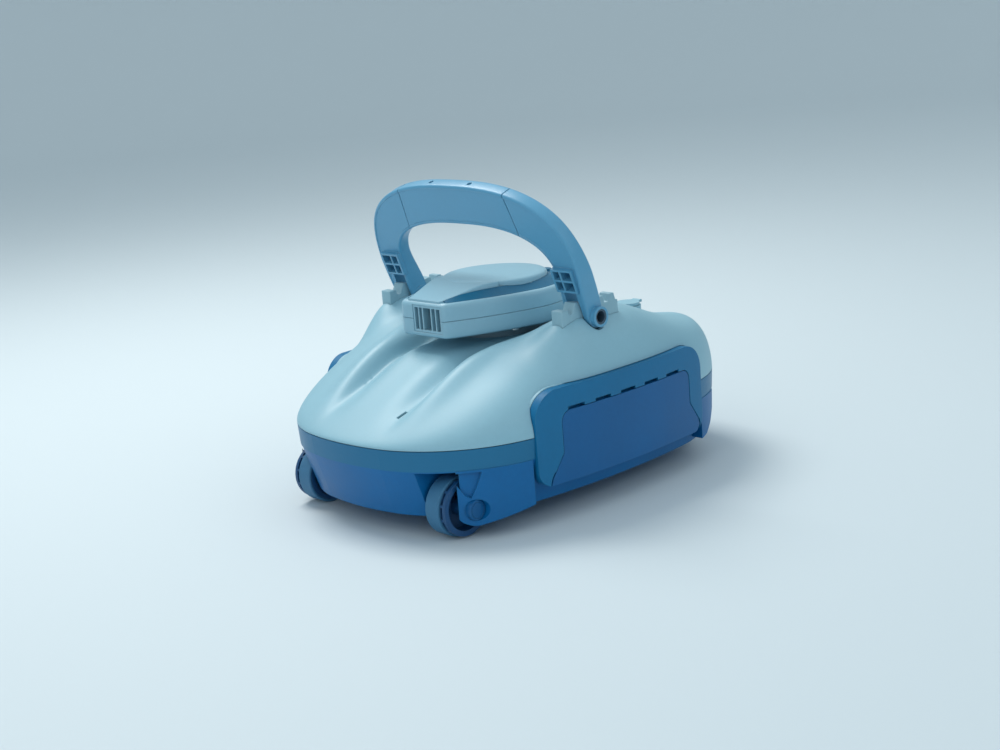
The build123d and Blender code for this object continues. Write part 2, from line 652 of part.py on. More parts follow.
# Power
def make_battery_case():
    low, high = BATTERY
    case = block(low, high)
    inner = block([v + 2 for v in low], [v - 2 for v in high])
    return case - inner


def make_battery_cells():
    low, high = BATTERY
    mid_z = (low[2] + high[2]) / 2
    rows = [low[1] + 12, high[1] - 12]
    return group([rod_x(x0, x1, y, mid_z, 9.2) for y in rows for x0, x1 in ((low[0] + 3, -1), (1, high[0] - 3))])


def make_circuit_board():
    board = rod_z(0, HEAD_CENTRE_Y, 176, 177.6, DECK_R - 6)
    for x, y, size in ((-14, -16, 12), (12, 6, 9), (-6, 14, 7)):
        board += block((x, HEAD_CENTRE_Y + y, 177.6), (x + size, HEAD_CENTRE_Y + y + size * 0.7, 180))
    return board


def make_charge_socket():
    socket = rod_z(0, PORT_Y, PORT_Z - 12, PORT_Z - 2, 9.4) - rod_z(0, PORT_Y, PORT_Z - 9, PORT_Z, 6)
    return socket + rod_z(0, PORT_Y, PORT_Z - 10, PORT_Z - 3, 1.5)


def make_charge_cap():
    cap = rod_z(0, PORT_Y, PORT_Z + 0.3, PORT_Z + 3, 12)
    cap += rod_z(0, PORT_Y, PORT_Z - 1.6, PORT_Z + 0.3, 8.6)
    cap += block((-5, PORT_Y + 9, PORT_Z + 0.9), (5, PORT_Y + 15, PORT_Z + 3))
    return cap + rod_x(-5, 5, PORT_Y + 14.5, PORT_Z + 2, 1.4)


def build_nodes():
    frame, flap, bracket, leg = make_side_frame(), make_flap(), make_bracket(), make_leg()
    hinge = rod_y(HINGE_X, -58.5, 58.5, HINGE_Z, HINGE_R)
    axle = rod_x(WHEEL_IN - 3 - WALL, ARM_IN + 4, WHEEL_Y, WHEEL_R, AXLE_R)
    cap = rod_x(ARM_IN + 5, 110.6, WHEEL_Y, WHEEL_R, 8.5)
    pairs = {
        "side_frame": frame,
        "side_flap": flap,
        "flap_hinge_pin": hinge,
        "front_axle": axle,
        "axle_cap": cap,
        "front_wheel": make_front_wheel(),
        "front_tyre": make_front_tyre(),
        "rear_wheel": make_rear_wheel(),
        "rear_tyre": make_rear_tyre(),
        "handle_bracket": bracket,
        "handle_pivot_tube": make_handle_pin(),
        "handle_leg": leg,
    }
    for name, shape in pairs.items():
        nodes[name + "_right"] = shape
        nodes[name + "_left"] = left_of(shape)
    nodes["lower_housing"] = make_lower_housing()
    nodes["rim_seal"] = make_rim_seal()
    nodes["rear_axle"] = rod_x(-64, 64, REAR_Y, REAR_R, REAR_AXLE_R)
    nodes["inlet_frame"] = make_inlet_frame()
    nodes["inlet_flap"] = make_inlet_flap()
    nodes["inlet_flap_pin"] = rod_x(2 - MOUTH_X, MOUTH_X - 2, INLET_PIN_Y, INLET_PIN_Z, 1.2)
    nodes["filter_basket"] = make_filter_basket()
    nodes["filter_mesh"] = make_filter_mesh()
    nodes["upper_housing"] = make_upper_housing()
    nodes["handle_grip"] = make_grip() - screw_holes()
    nodes["handle_screws"] = make_handle_screws()
    nodes["head_lower_shell"] = make_head_lower()
    nodes["head_upper_shell"] = make_head_upper()
    nodes["head_screws"] = make_head_screws()
    nodes["head_accent"] = make_head_accent()
    nodes["top_deck"] = make_top_deck()
    nodes["front_nozzle_grille"] = make_nozzle_grille(0)
    nodes["rear_nozzle_grille"] = make_nozzle_grille(1)
    nodes["jet_duct"] = make_jet_duct()
    nodes["front_flow_flap"] = make_flow_flap(FLOW_FLAPS[0])
    nodes["rear_flow_flap"] = make_flow_flap(FLOW_FLAPS[1])
    nodes["flow_flap_pins"] = make_flow_flap_pins()
    nodes["power_button"] = make_power_button()
    nodes["pump_column"] = make_pump_column()
    nodes["motor_can"] = make_motor_can()
    nodes["motor_shaft"] = make_motor_shaft()
    nodes["impeller"] = make_impeller()
    nodes["battery_case"] = make_battery_case()
    nodes["battery_cells"] = make_battery_cells()
    nodes["circuit_board"] = make_circuit_board()
    nodes["charge_socket"] = make_charge_socket()
    nodes["charge_cap"] = make_charge_cap()


build_nodes()
os.makedirs("parts", exist_ok=True)
for name, shape in nodes.items():
    export_step(shape, f"parts/{name}.step")
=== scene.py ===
import math

import bmesh
import bpy
import numpy as np
from mathutils import Matrix, Vector


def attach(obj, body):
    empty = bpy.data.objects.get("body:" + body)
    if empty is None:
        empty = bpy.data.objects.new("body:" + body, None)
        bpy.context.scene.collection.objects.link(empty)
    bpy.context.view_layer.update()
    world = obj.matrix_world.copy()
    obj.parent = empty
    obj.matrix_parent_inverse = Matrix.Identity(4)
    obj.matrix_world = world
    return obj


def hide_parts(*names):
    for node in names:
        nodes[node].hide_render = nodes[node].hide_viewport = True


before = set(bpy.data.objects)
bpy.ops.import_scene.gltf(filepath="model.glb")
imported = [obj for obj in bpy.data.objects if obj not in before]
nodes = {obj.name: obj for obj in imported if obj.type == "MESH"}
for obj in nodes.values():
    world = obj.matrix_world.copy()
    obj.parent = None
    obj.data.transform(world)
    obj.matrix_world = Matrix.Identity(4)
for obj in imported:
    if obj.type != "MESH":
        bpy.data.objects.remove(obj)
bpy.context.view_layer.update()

# Studio: a cordless pool cleaner set down on a wide pale floor, seen from its front right corner, a little
# from above. One broad lamp high on its left, a wide fill beside the camera and a pale surround light it.
CAMERA_TARGET = (0.00928, -0.0190, 0.09406)
CAMERA_AZIMUTH, CAMERA_ELEVATION, CAMERA_ROLL = 46.962, 13.509, -4.673
CAMERA_DISTANCE, CAMERA_LENS = 1.424946, 58.44
FLOOR_REACH, FLOOR_BEND, FLOOR_RIM, FLOOR_SIDES = 3.6, 2.2, 3.2, 96
FLOOR_COLOUR = (0.62, 0.70, 0.74, 1)
SURROUND_COLOUR, SURROUND_STRENGTH = (0.80, 0.90, 0.95, 1), 0.75
LAMPS = (
    # where it hangs from the target (metres), width (metres), watts, colour
    ((-0.85, 0.05, 1.45), 0.8, 19, (1.0, 0.98, 0.94)),
    ((0.35, -1.9, 0.8), 1.5, 6, (0.90, 0.96, 1.0)),
    ((1.9, 0.3, 0.9), 1.5, 5, (0.85, 0.94, 1.0)),
)


def looking(azimuth, elevation, roll):
    """Camera axes as columns: right and up turned by the roll about the line back to the camera."""
    a, e, r = (math.radians(v) for v in (azimuth, elevation, roll))
    back = Vector((math.sin(a) * math.cos(e), -math.cos(a) * math.cos(e), math.sin(e)))
    right = Vector((math.cos(a), math.sin(a), 0))
    up = back.cross(right)
    side = math.cos(r) * right + math.sin(r) * up
    top = -math.sin(r) * right + math.cos(r) * up
    return Matrix((side, top, back)).transposed()


camera = bpy.data.objects.new("camera", bpy.data.cameras.new("camera"))
camera.data.lens = CAMERA_LENS
camera.data.sensor_width = 36
axes = looking(CAMERA_AZIMUTH, CAMERA_ELEVATION, CAMERA_ROLL)
place = Vector(CAMERA_TARGET) + CAMERA_DISTANCE * axes.col[2]
camera.matrix_world = Matrix.Translation(place) @ axes.to_4x4()
bpy.context.collection.objects.link(camera)
bpy.context.scene.camera = camera

for index, (offset, width, watts, colour) in enumerate(LAMPS):
    lamp = bpy.data.lights.new(f"lamp_{index}", "AREA")
    lamp.size, lamp.energy, lamp.color = width, watts, colour
    hanger = bpy.data.objects.new(f"lamp_{index}", lamp)
    hanger.location = Vector(CAMERA_TARGET) + Vector(offset)
    hanger.rotation_euler = (-Vector(offset)).to_track_quat("-Z", "Y").to_euler()
    bpy.context.collection.objects.link(hanger)

world = bpy.data.worlds.new("surround")
world.use_nodes = True
world.node_tree.nodes["Background"].inputs["Color"].default_value = SURROUND_COLOUR
world.node_tree.nodes["Background"].inputs["Strength"].default_value = SURROUND_STRENGTH
bpy.context.scene.world = world
bpy.context.scene.view_settings.view_transform = "Standard"

# The floor is a wide dish: radius and height run flat, then round a quarter circle, then straight up.
bend = np.linspace(0, np.pi / 2, 24)
dish_r = np.concatenate([[FLOOR_REACH], FLOOR_REACH + FLOOR_BEND * np.sin(bend[1:]),
                         [FLOOR_REACH + FLOOR_BEND]])
dish_z = np.concatenate([[0.0], FLOOR_BEND * (1 - np.cos(bend[1:])), [FLOOR_RIM]])
dish_turn = np.linspace(0, 2 * np.pi, FLOOR_SIDES, endpoint=False)
dish = np.stack([dish_r[:, None] * np.cos(dish_turn), dish_r[:, None] * np.sin(dish_turn),
                 np.broadcast_to(dish_z[:, None], (len(dish_r), FLOOR_SIDES))], axis=-1).reshape(-1, 3)
ring = np.arange(FLOOR_SIDES)
dish_faces = [ring.tolist()]
for near in range(0, FLOOR_SIDES * (len(dish_r) - 1), FLOOR_SIDES):
    far, after = near + FLOOR_SIDES, (ring + 1) % FLOOR_SIDES
    dish_faces += np.stack([near + ring, far + ring, far + after, near + after], axis=1).tolist()
floor_mesh = bpy.data.meshes.new("floor")
floor_mesh.from_pydata(dish.tolist(), [], dish_faces)
floor_mesh.shade_smooth()
floor = bpy.data.objects.new("floor", floor_mesh)
bpy.context.collection.objects.link(floor)
floor_paint = bpy.data.materials.new("floor_paint")
floor_paint.use_nodes = True
floor_shader = floor_paint.node_tree.nodes["Principled BSDF"]
floor_shader.inputs["Base Color"].default_value = FLOOR_COLOUR
floor_shader.inputs["Roughness"].default_value = 0.7
floor_mesh.materials.append(floor_paint)

# Lower housing: a tub of deep blue injection-moulded plastic with a belt round its rim and fender arms that
# carry the front wheels. It stays as the frame has it and gets its moulded finish here, with painted light:
# the belt above 58 mm is painted a paler grey-blue for the light falling on it, while the tapered wall below
# is in shade.
BLUE = (0.001, 0.122, 0.330)
BLUE_SCUFFED = (0.05, 0.25, 0.42)
# painted light: the paler grey-blue painted on the lit belt above the shadow line
PAINTED_LIGHT_BELT_BLUE = (0.014, 0.152, 0.300)
PAINTED_LIGHT_FROM, PAINTED_LIGHT_TO = 0.0575, 0.0585


def add_node(tree, kind, inputs=None, **settings):
    """A node with its settings, and its inputs as links (sockets) or values."""
    node = tree.nodes.new(kind)
    for key, value in settings.items():
        setattr(node, key, value)
    for key, value in (inputs or {}).items():
        if isinstance(value, bpy.types.NodeSocket):
            tree.links.new(value, node.inputs[key])
        else:
            node.inputs[key].default_value = value
    return node


def new_group(name, inputs, outputs):
    """An empty shader group with named inputs and outputs, and its two end nodes."""
    tree = bpy.data.node_groups.new(name, "ShaderNodeTree")
    for label, kind in inputs.items():
        tree.interface.new_socket(label, in_out="INPUT", socket_type=kind)
    for label, kind in outputs.items():
        tree.interface.new_socket(label, in_out="OUTPUT", socket_type=kind)
    return tree, tree.nodes.new("NodeGroupInput"), tree.nodes.new("NodeGroupOutput")


def worn_edge_group():
    """Edge mask: how far the normal of a rounded-over edge leans from the flat one, broken up by noise."""
    tree, given, result = new_group(
        "worn_edge",
        {"Radius": "NodeSocketFloat", "Patch Scale": "NodeSocketFloat"},
        {"Mask": "NodeSocketFloat", "Normal": "NodeSocketVector"},
    )
    place = add_node(tree, "ShaderNodeTexCoord").outputs["Object"]
    rounded = add_node(tree, "ShaderNodeBevel", {"Radius": given.outputs["Radius"]}, samples=6)
    flat = add_node(tree, "ShaderNodeNewGeometry").outputs["Normal"]
    lean = add_node(
        tree, "ShaderNodeVectorMath", {0: rounded.outputs[0], 1: flat}, operation="DOT_PRODUCT"
    )
    away = add_node(tree, "ShaderNodeMath", {0: 1.0, 1: lean.outputs["Value"]}, operation="SUBTRACT")
    strong = add_node(tree, "ShaderNodeMath", {0: away.outputs[0], 1: 9.0}, operation="MULTIPLY")
    strong.use_clamp = True
    patch = add_node(
        tree, "ShaderNodeTexNoise", {"Vector": place, "Scale": given.outputs["Patch Scale"], "Detail": 3.0}
    )
    broken = add_node(
        tree, "ShaderNodeMapRange", {"Value": patch.outputs[0], "From Min": 0.38, "From Max": 0.66}
    )
    mask = add_node(tree, "ShaderNodeMath", {0: strong.outputs[0], 1: broken.outputs[0]})
    mask.operation = "MULTIPLY"
    tree.links.new(mask.outputs[0], result.inputs["Mask"])
    tree.links.new(rounded.outputs[0], result.inputs["Normal"])
    return tree


def moulded_skin_group(worn_edge):
    """Moulded plastic: base colour times (1 + mottle x cloud noise), scuffed on its edges; roughness from
    cloud, edge and grain; height from the fine grain of the tool's face."""
    tree, given, result = new_group(
        "moulded_skin",
        {
            "Colour": "NodeSocketColor", "Scuffed": "NodeSocketColor", "Mottle": "NodeSocketFloat",
            "Cloud Scale": "NodeSocketFloat", "Grain Scale": "NodeSocketFloat", "Gloss": "NodeSocketFloat",
            "Edge Radius": "NodeSocketFloat", "Wear": "NodeSocketFloat",
        },
        {
            "Colour": "NodeSocketColor", "Roughness": "NodeSocketFloat", "Height": "NodeSocketFloat",
            "Normal": "NodeSocketVector",
        },
    )
    ins = given.outputs
    place = add_node(tree, "ShaderNodeTexCoord").outputs["Object"]
    cloud = add_node(
        tree, "ShaderNodeTexNoise", {"Vector": place, "Scale": ins["Cloud Scale"], "Detail": 5.0}
    )
    fleck = add_node(tree, "ShaderNodeTexNoise", {"Vector": place, "Scale": 260.0, "Detail": 2.0})
    both = add_node(tree, "ShaderNodeMath", {0: fleck.outputs[0], 1: 0.35, 2: cloud.outputs[0]})
    both.operation = "MULTIPLY_ADD"
    centred = add_node(tree, "ShaderNodeMath", {0: both.outputs[0], 1: 0.675}, operation="SUBTRACT")
    share = add_node(tree, "ShaderNodeMath", {0: centred.outputs[0], 1: ins["Mottle"], 2: 1.0})
    share.operation = "MULTIPLY_ADD"
    tinted = add_node(
        tree, "ShaderNodeVectorMath", {0: ins["Colour"], "Scale": share.outputs[0]}, operation="SCALE"
    )
    edge = tree.nodes.new("ShaderNodeGroup")
    edge.node_tree = worn_edge
    tree.links.new(ins["Edge Radius"], edge.inputs["Radius"])
    edge.inputs["Patch Scale"].default_value = 55
    amount = add_node(tree, "ShaderNodeMath", {0: edge.outputs["Mask"], 1: ins["Wear"]})
    amount.operation = "MULTIPLY"
    mixed = add_node(tree, "ShaderNodeMix", data_type="RGBA")
    tree.links.new(amount.outputs[0], mixed.inputs[0])
    tree.links.new(tinted.outputs[0], mixed.inputs[6])
    tree.links.new(ins["Scuffed"], mixed.inputs[7])
    grain = add_node(
        tree, "ShaderNodeTexNoise", {"Vector": place, "Scale": ins["Grain Scale"], "Detail": 2.0}
    )
    rough = add_node(tree, "ShaderNodeMath", {0: centred.outputs[0], 1: 0.22, 2: ins["Gloss"]})
    rough.operation = "MULTIPLY_ADD"
    rougher = add_node(tree, "ShaderNodeMath", {0: amount.outputs[0], 1: 0.2, 2: rough.outputs[0]})
    rougher.operation = "MULTIPLY_ADD"
    tree.links.new(mixed.outputs[2], result.inputs["Colour"])
    tree.links.new(rougher.outputs[0], result.inputs["Roughness"])
    tree.links.new(grain.outputs[0], result.inputs["Height"])
    tree.links.new(edge.outputs["Normal"], result.inputs["Normal"])
    return tree


worn_edge = worn_edge_group()
moulded_skin = moulded_skin_group(worn_edge)


def moulded(name, colour, scuffed, rough, mottle=0.25, cloud=14, grain=1500, edge=0.0007, wear=0.5,
            depth=0.00012, coat=0.0, gleam=0.5):
    """A moulded finish: the skin group feeding one shader, with the grain pressed in by a bump. Rough and
    gleam are the shader's roughness and specular level, coat its clear layer, and edge and depth are in
    metres: the softened edge's radius and the grain's height."""
    material = bpy.data.materials.new(name)
    material.use_nodes = True
    tree = material.node_tree
    shader = tree.nodes["Principled BSDF"]
    skin = tree.nodes.new("ShaderNodeGroup")
    skin.node_tree = moulded_skin
    skin.name = "skin"
    values = {"Colour": (*colour, 1), "Scuffed": (*scuffed, 1), "Mottle": mottle, "Cloud Scale": cloud,
              "Grain Scale": grain, "Gloss": rough, "Edge Radius": edge, "Wear": wear}
    for key, value in values.items():
        skin.inputs[key].default_value = value
    bump = add_node(tree, "ShaderNodeBump", {"Height": skin.outputs["Height"], "Strength": 0.35})
    bump.inputs["Distance"].default_value = depth
    tree.links.new(skin.outputs["Normal"], bump.inputs["Normal"])
    tree.links.new(skin.outputs["Colour"], shader.inputs["Base Color"])
    tree.links.new(skin.outputs["Roughness"], shader.inputs["Roughness"])
    tree.links.new(bump.outputs[0], shader.inputs["Normal"])
    shader.inputs["Specular IOR Level"].default_value = gleam
    shader.inputs["Coat Weight"].default_value = coat
    shader.inputs["Coat Roughness"].default_value = 0.25
    return material


def dress(material, *names):
    """Puts one finish on CAD nodes that keep their shape."""
    for name in names:
        for slot in nodes[name].material_slots:
            slot.material = material


blue_shell = moulded("blue_shell", BLUE, BLUE_SCUFFED, rough=0.38, mottle=0.35, wear=0.45, gleam=0.3)
tree = blue_shell.node_tree
place = add_node(tree, "ShaderNodeTexCoord").outputs["Object"]
height = add_node(tree, "ShaderNodeSeparateXYZ", {0: place}).outputs["Z"]
# painted light: between 57.5 and 58.5 mm the colour turns to the paler painted-light blue of the lit belt
painted_light_mask = add_node(tree, "ShaderNodeMapRange", {"Value": height, "From Min": PAINTED_LIGHT_FROM, "From Max": PAINTED_LIGHT_TO})
painted_light_mix = add_node(tree, "ShaderNodeMix", data_type="RGBA")
tree.links.new(painted_light_mask.outputs[0], painted_light_mix.inputs[0])
tree.links.new(tree.nodes["skin"].outputs["Colour"], painted_light_mix.inputs[6])
painted_light_mix.inputs[7].default_value = (*PAINTED_LIGHT_BELT_BLUE, 1)
tree.links.new(painted_light_mix.outputs[2], tree.nodes["Principled BSDF"].inputs["Base Color"])
dress(blue_shell, "lower_housing")

# Rim seal: a soft strip of dark rubber laid in the tub's rim. The lid squeezes it as it closes, so the
# water can only come in through the suction mouth.
seal_rubber = moulded("seal_rubber", (0.012, 0.020, 0.030), (0.05, 0.06, 0.07), rough=0.7, mottle=0.3,
                      wear=0.2)
dress(seal_rubber, "rim_seal")

# Side panels: a slate navy frame snapped into a seat on each side, with a flap on a steel pin along its
# bottom edge and lugs along its top. Both are plain mouldings; the flap is a shade darker, with a satin face.
slate = moulded("slate_frame", (0.004, 0.145, 0.315), (0.07, 0.26, 0.40), rough=0.42, mottle=0.3, gleam=0.3)
navy = moulded("navy_flap", (0.003, 0.103, 0.285), (0.06, 0.22, 0.37), rough=0.36, mottle=0.35, gleam=0.3)
dress(slate, "side_frame_right", "side_frame_left")
dress(navy, "side_flap_right", "side_flap_left")

# Steel: the axles, hinge pins and motor shaft are ground stainless rod pushed into their bores, and the
# screws of the head and the handle are the same steel.
STEEL_COLOUR, STEEL_STREAK = (0.55, 0.57, 0.58), (1400.0, 60.0, 60.0)
STEEL_ROUGH = (0.18, 0.42)


def ground_steel(name):
    """Ground metal: roughness and a fine height from noise squeezed along X, over plain metal."""
    material = bpy.data.materials.new(name)
    material.use_nodes = True
    tree = material.node_tree
    shader = tree.nodes["Principled BSDF"]
    place = add_node(tree, "ShaderNodeTexCoord").outputs["Object"]
    drawn = add_node(tree, "ShaderNodeMapping", {"Vector": place, "Scale": STEEL_STREAK})
    lines = add_node(tree, "ShaderNodeTexNoise", {"Vector": drawn.outputs[0], "Scale": 1.0, "Detail": 3.0})
    stain = add_node(tree, "ShaderNodeTexNoise", {"Vector": place, "Scale": 70.0, "Detail": 4.0})
    tone = add_node(tree, "ShaderNodeMapRange", {"Value": stain.outputs[0], "To Min": 0.82, "To Max": 1.12})
    shade = add_node(
        tree, "ShaderNodeVectorMath", {0: STEEL_COLOUR, "Scale": tone.outputs[0]}, operation="SCALE"
    )
    spread = add_node(tree, "ShaderNodeMapRange", {"Value": lines.outputs[0]})
    spread.inputs["To Min"].default_value, spread.inputs["To Max"].default_value = STEEL_ROUGH
    bump = add_node(tree, "ShaderNodeBump", {"Height": lines.outputs[0], "Strength": 0.2})
    bump.inputs["Distance"].default_value = 0.00005
    tree.links.new(shade.outputs[0], shader.inputs["Base Color"])
    tree.links.new(spread.outputs[0], shader.inputs["Roughness"])
    tree.links.new(bump.outputs[0], shader.inputs["Normal"])
    shader.inputs["Metallic"].default_value = 1.0
    return material


steel = ground_steel("ground_steel")
dress(steel, "flap_hinge_pin_right", "flap_hinge_pin_left", "front_axle_right", "front_axle_left",
      "rear_axle", "inlet_flap_pin", "flow_flap_pins", "motor_shaft", "head_screws", "handle_screws")

# Front wheels: a grey-blue moulded wheel with a ring of windows, a smooth rubber tyre rolled over its
# inner flange, and a round cap pressed on the axle's outer end.
WHEEL_Y, WHEEL_Z = -149.0, 25.0
TYRE_SHAPE = [(75.6, 22.6), (75.0, 23.2), (75.0, 24.0), (75.3, 24.6), (75.9, 25.0), (78.0, 25.0),
              (82.8, 25.0), (87.6, 25.0), (89.7, 25.0), (90.3, 24.6), (90.6, 24.0), (90.6, 22.6)]
CAP_SHAPE = [(105.0, 0.0), (105.0, 8.5), (109.4, 8.5), (110.0, 8.3), (110.3, 7.8), (110.35, 7.0),
             (109.9, 6.8), (109.9, 6.4), (110.4, 6.2), (110.6, 4.0), (110.6, 0.0)]


def sheet_of(grid, round_rows=False, capped=False):
    """Points and faces of a grid: every four neighbours make a face; columns close on themselves, rows may
    too, and open first and last rows may be capped."""
    rows, columns = grid.shape[:2]
    index = np.arange(rows * columns).reshape(rows, columns)
    if round_rows:
        index = np.vstack([index, index[:1]])
    index = np.hstack([index, index[:, :1]])
    squares = np.stack([index[:-1, :-1], index[:-1, 1:], index[1:, 1:], index[1:, :-1]], axis=-1)
    faces = squares.reshape(-1, 4).tolist()
    if capped:
        faces += [list(range(columns)), list(range((rows - 1) * columns, rows * columns))]
    return grid.reshape(-1, 3), faces


def piece_of(name, shapes, crease=32):
    """One object from closed shapes in millimetres, doubles merged, faces turned outwards, and shaded
    smooth up to the crease angle in degrees."""
    mesh = bpy.data.meshes.new(name)
    points, faces, start = [], [], 0
    for shape_points, shape_faces in shapes:
        points.append(np.asarray(shape_points, float) / 1000)
        faces += [[start + i for i in face] for face in shape_faces]
        start += len(shape_points)
    mesh.from_pydata(np.vstack(points).tolist(), [], faces)
    work = bmesh.new()
    work.from_mesh(mesh)
    bmesh.ops.remove_doubles(work, verts=work.verts, dist=2e-6)
    bmesh.ops.dissolve_degenerate(work, edges=work.edges, dist=1e-7)
    bmesh.ops.recalc_face_normals(work, faces=work.faces)
    work.to_mesh(mesh)
    work.free()
    mesh.shade_smooth()
    mesh.set_sharp_from_angle(angle=math.radians(crease))
    piece = bpy.data.objects.new(name, mesh)
    bpy.context.collection.objects.link(piece)
    return piece


def turned(shape, y, z, count=96, hollow=True):
    """An outline of (x, radius) points turned about a line along X: y and z plus radius times the cosine
    and sine of the turn. A hollow piece's outline closes on itself; another starts and ends on the line."""
    shape = np.asarray(shape, float)
    turn = np.linspace(0, 2 * np.pi, count, endpoint=False)
    x = np.repeat(shape[:, :1], count, axis=1)
    around_y = y + shape[:, 1:] * np.cos(turn)
    around_z = z + shape[:, 1:] * np.sin(turn)
    return sheet_of(np.stack([x, around_y, around_z], axis=-1), round_rows=hollow)


def fitted(piece, material, body, slot, *replaced):
    """Finish, body and the CAD nodes that a piece stands for; the slot is not used."""
    piece.data.materials.clear()
    piece.data.materials.append(material)
    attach(piece, body)
    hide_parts(*replaced)
    return piece


def as_drawn(shape):
    """The right-hand shape, left where it is."""
    return shape


def across(shape):
    """The same shape on the other side: x changes sign."""
    points, faces = shape
    return np.asarray(points) * (-1, 1, 1), faces


SIDES = (("right", as_drawn), ("left", across))
rubber = moulded("tyre_rubber", (0.040, 0.162, 0.295), (0.13, 0.27, 0.39), rough=0.62, mottle=0.4,
                 grain=2600, wear=0.35, depth=0.0002)
wheel_blue = moulded("wheel_plastic", (0.006, 0.066, 0.180), (0.09, 0.18, 0.27), rough=0.45, mottle=0.35)
cap_blue = moulded("cap_plastic", (0.003, 0.095, 0.260), (0.07, 0.23, 0.38), rough=0.35, mottle=0.3,
                   gleam=0.3)
dress(wheel_blue, "front_wheel_right", "front_wheel_left", "rear_wheel_right", "rear_wheel_left")
for side, swap in SIDES:
    tyre = piece_of(f"rolled_tyre_{side}", [swap(turned(TYRE_SHAPE, WHEEL_Y, WHEEL_Z))])
    fitted(tyre, rubber, f"wheel_front_{side}", "tread_rubber", f"front_tyre_{side}")
    cap = piece_of(f"pressed_cap_{side}", [swap(turned(CAP_SHAPE, WHEEL_Y, WHEEL_Z, 64, hollow=False))])
    fitted(cap, cap_blue, "chassis", "blue_plastic", f"axle_cap_{side}")

# Rear wheels: two narrow rollers under the tail, each a moulded wheel in a ribbed rubber band. They turn on
# one steel axle in pockets of the tub.
REAR_Y, REAR_Z = 140.0, 20.0
BAND_SHAPE = [(39.0, 17.0), (39.0, 18.9), (39.4, 19.7), (40.2, 20.0), (43.4, 20.0), (43.9, 19.4),
              (44.6, 19.4), (45.1, 20.0), (48.9, 20.0), (49.4, 19.4), (50.1, 19.4), (50.6, 20.0),
              (53.8, 20.0), (54.6, 19.7), (55.0, 18.9), (55.0, 17.0)]
for side, swap in SIDES:
    band = piece_of(f"roller_band_{side}", [swap(turned(BAND_SHAPE, REAR_Y, REAR_Z, 72))])
    fitted(band, rubber, f"wheel_rear_{side}", "tread_rubber", f"rear_tyre_{side}")

# Suction mouth: a frame of dark moulded plastic let into the tub's floor, with a flap of the same on a
# steel pin. The water lifts it, and it falls shut to keep the debris in.
inner_dark = moulded("inner_plastic", (0.020, 0.030, 0.040), (0.09, 0.10, 0.11), rough=0.5, mottle=0.3)
dress(inner_dark, "inlet_frame", "inlet_flap")

# Filter: a basket moulded in milky plastic that drops into the tub, lined with a fine woven nylon mesh
# clipped inside its ribs.
WEAVE_PITCH = 0.0011


def woven(name, colour, dark):
    """Plain weave: two sets of threads, |sin| along X plus Y and along Z, brightest where both are high."""
    material = bpy.data.materials.new(name)
    material.use_nodes = True
    tree = material.node_tree
    shader = tree.nodes["Principled BSDF"]
    place = add_node(tree, "ShaderNodeTexCoord").outputs["Object"]
    parts = add_node(tree, "ShaderNodeSeparateXYZ", {0: place})
    level = add_node(tree, "ShaderNodeMath", {0: parts.outputs["X"], 1: parts.outputs["Y"]}, operation="ADD")
    turns = 2 * math.pi / WEAVE_PITCH
    threads = []
    for socket in (level.outputs[0], parts.outputs["Z"]):
        phase = add_node(tree, "ShaderNodeMath", {0: socket, 1: turns}, operation="MULTIPLY")
        wave = add_node(tree, "ShaderNodeMath", {0: phase.outputs[0]}, operation="SINE")
        thread = add_node(tree, "ShaderNodeMath", {0: wave.outputs[0]}, operation="ABSOLUTE")
        threads.append(thread.outputs[0])
    weave = add_node(tree, "ShaderNodeMath", {0: threads[0], 1: threads[1]}, operation="MULTIPLY")
    mixed = add_node(tree, "ShaderNodeMix", data_type="RGBA")
    tree.links.new(weave.outputs[0], mixed.inputs[0])
    mixed.inputs[6].default_value = (*dark, 1)
    mixed.inputs[7].default_value = (*colour, 1)
    bump = add_node(tree, "ShaderNodeBump", {"Height": weave.outputs[0], "Strength": 0.5})
    bump.inputs["Distance"].default_value = 0.0002
    fuzz = add_node(tree, "ShaderNodeTexNoise", {"Vector": place, "Scale": 90.0, "Detail": 4.0})
    spread = add_node(tree, "ShaderNodeMapRange", {"Value": fuzz.outputs[0], "To Min": 0.6, "To Max": 0.9})
    tree.links.new(mixed.outputs[2], shader.inputs["Base Color"])
    tree.links.new(spread.outputs[0], shader.inputs["Roughness"])
    tree.links.new(bump.outputs[0], shader.inputs["Normal"])
    return material


milky = moulded("basket_plastic", (0.36, 0.44, 0.47), (0.5, 0.55, 0.57), rough=0.4, mottle=0.2)
dress(milky, "filter_basket")
dress(woven("filter_weave", (0.55, 0.60, 0.62), (0.16, 0.20, 0.22)), "filter_mesh")

# Works inside the lid: a moulded pump column carries the motor, impeller and jet duct with its two flaps,
# and a dark case holds the battery's shrink-wrapped cells beside a lacquered circuit board.
board_green = moulded("board_lacquer", (0.012, 0.085, 0.035), (0.10, 0.18, 0.10), rough=0.3, mottle=0.5,
                      cloud=120)
cell_wrap = moulded("cell_wrap", (0.020, 0.110, 0.160), (0.12, 0.2, 0.24), rough=0.28, mottle=0.25)
grey_inner = moulded("duct_plastic", (0.20, 0.27, 0.31), (0.34, 0.40, 0.43), rough=0.48, mottle=0.25)
dress(inner_dark, "motor_can", "battery_case", "charge_socket", "front_flow_flap", "rear_flow_flap")
dress(grey_inner, "pump_column", "impeller", "jet_duct")
dress(board_green, "circuit_board")
dress(cell_wrap, "battery_cells")

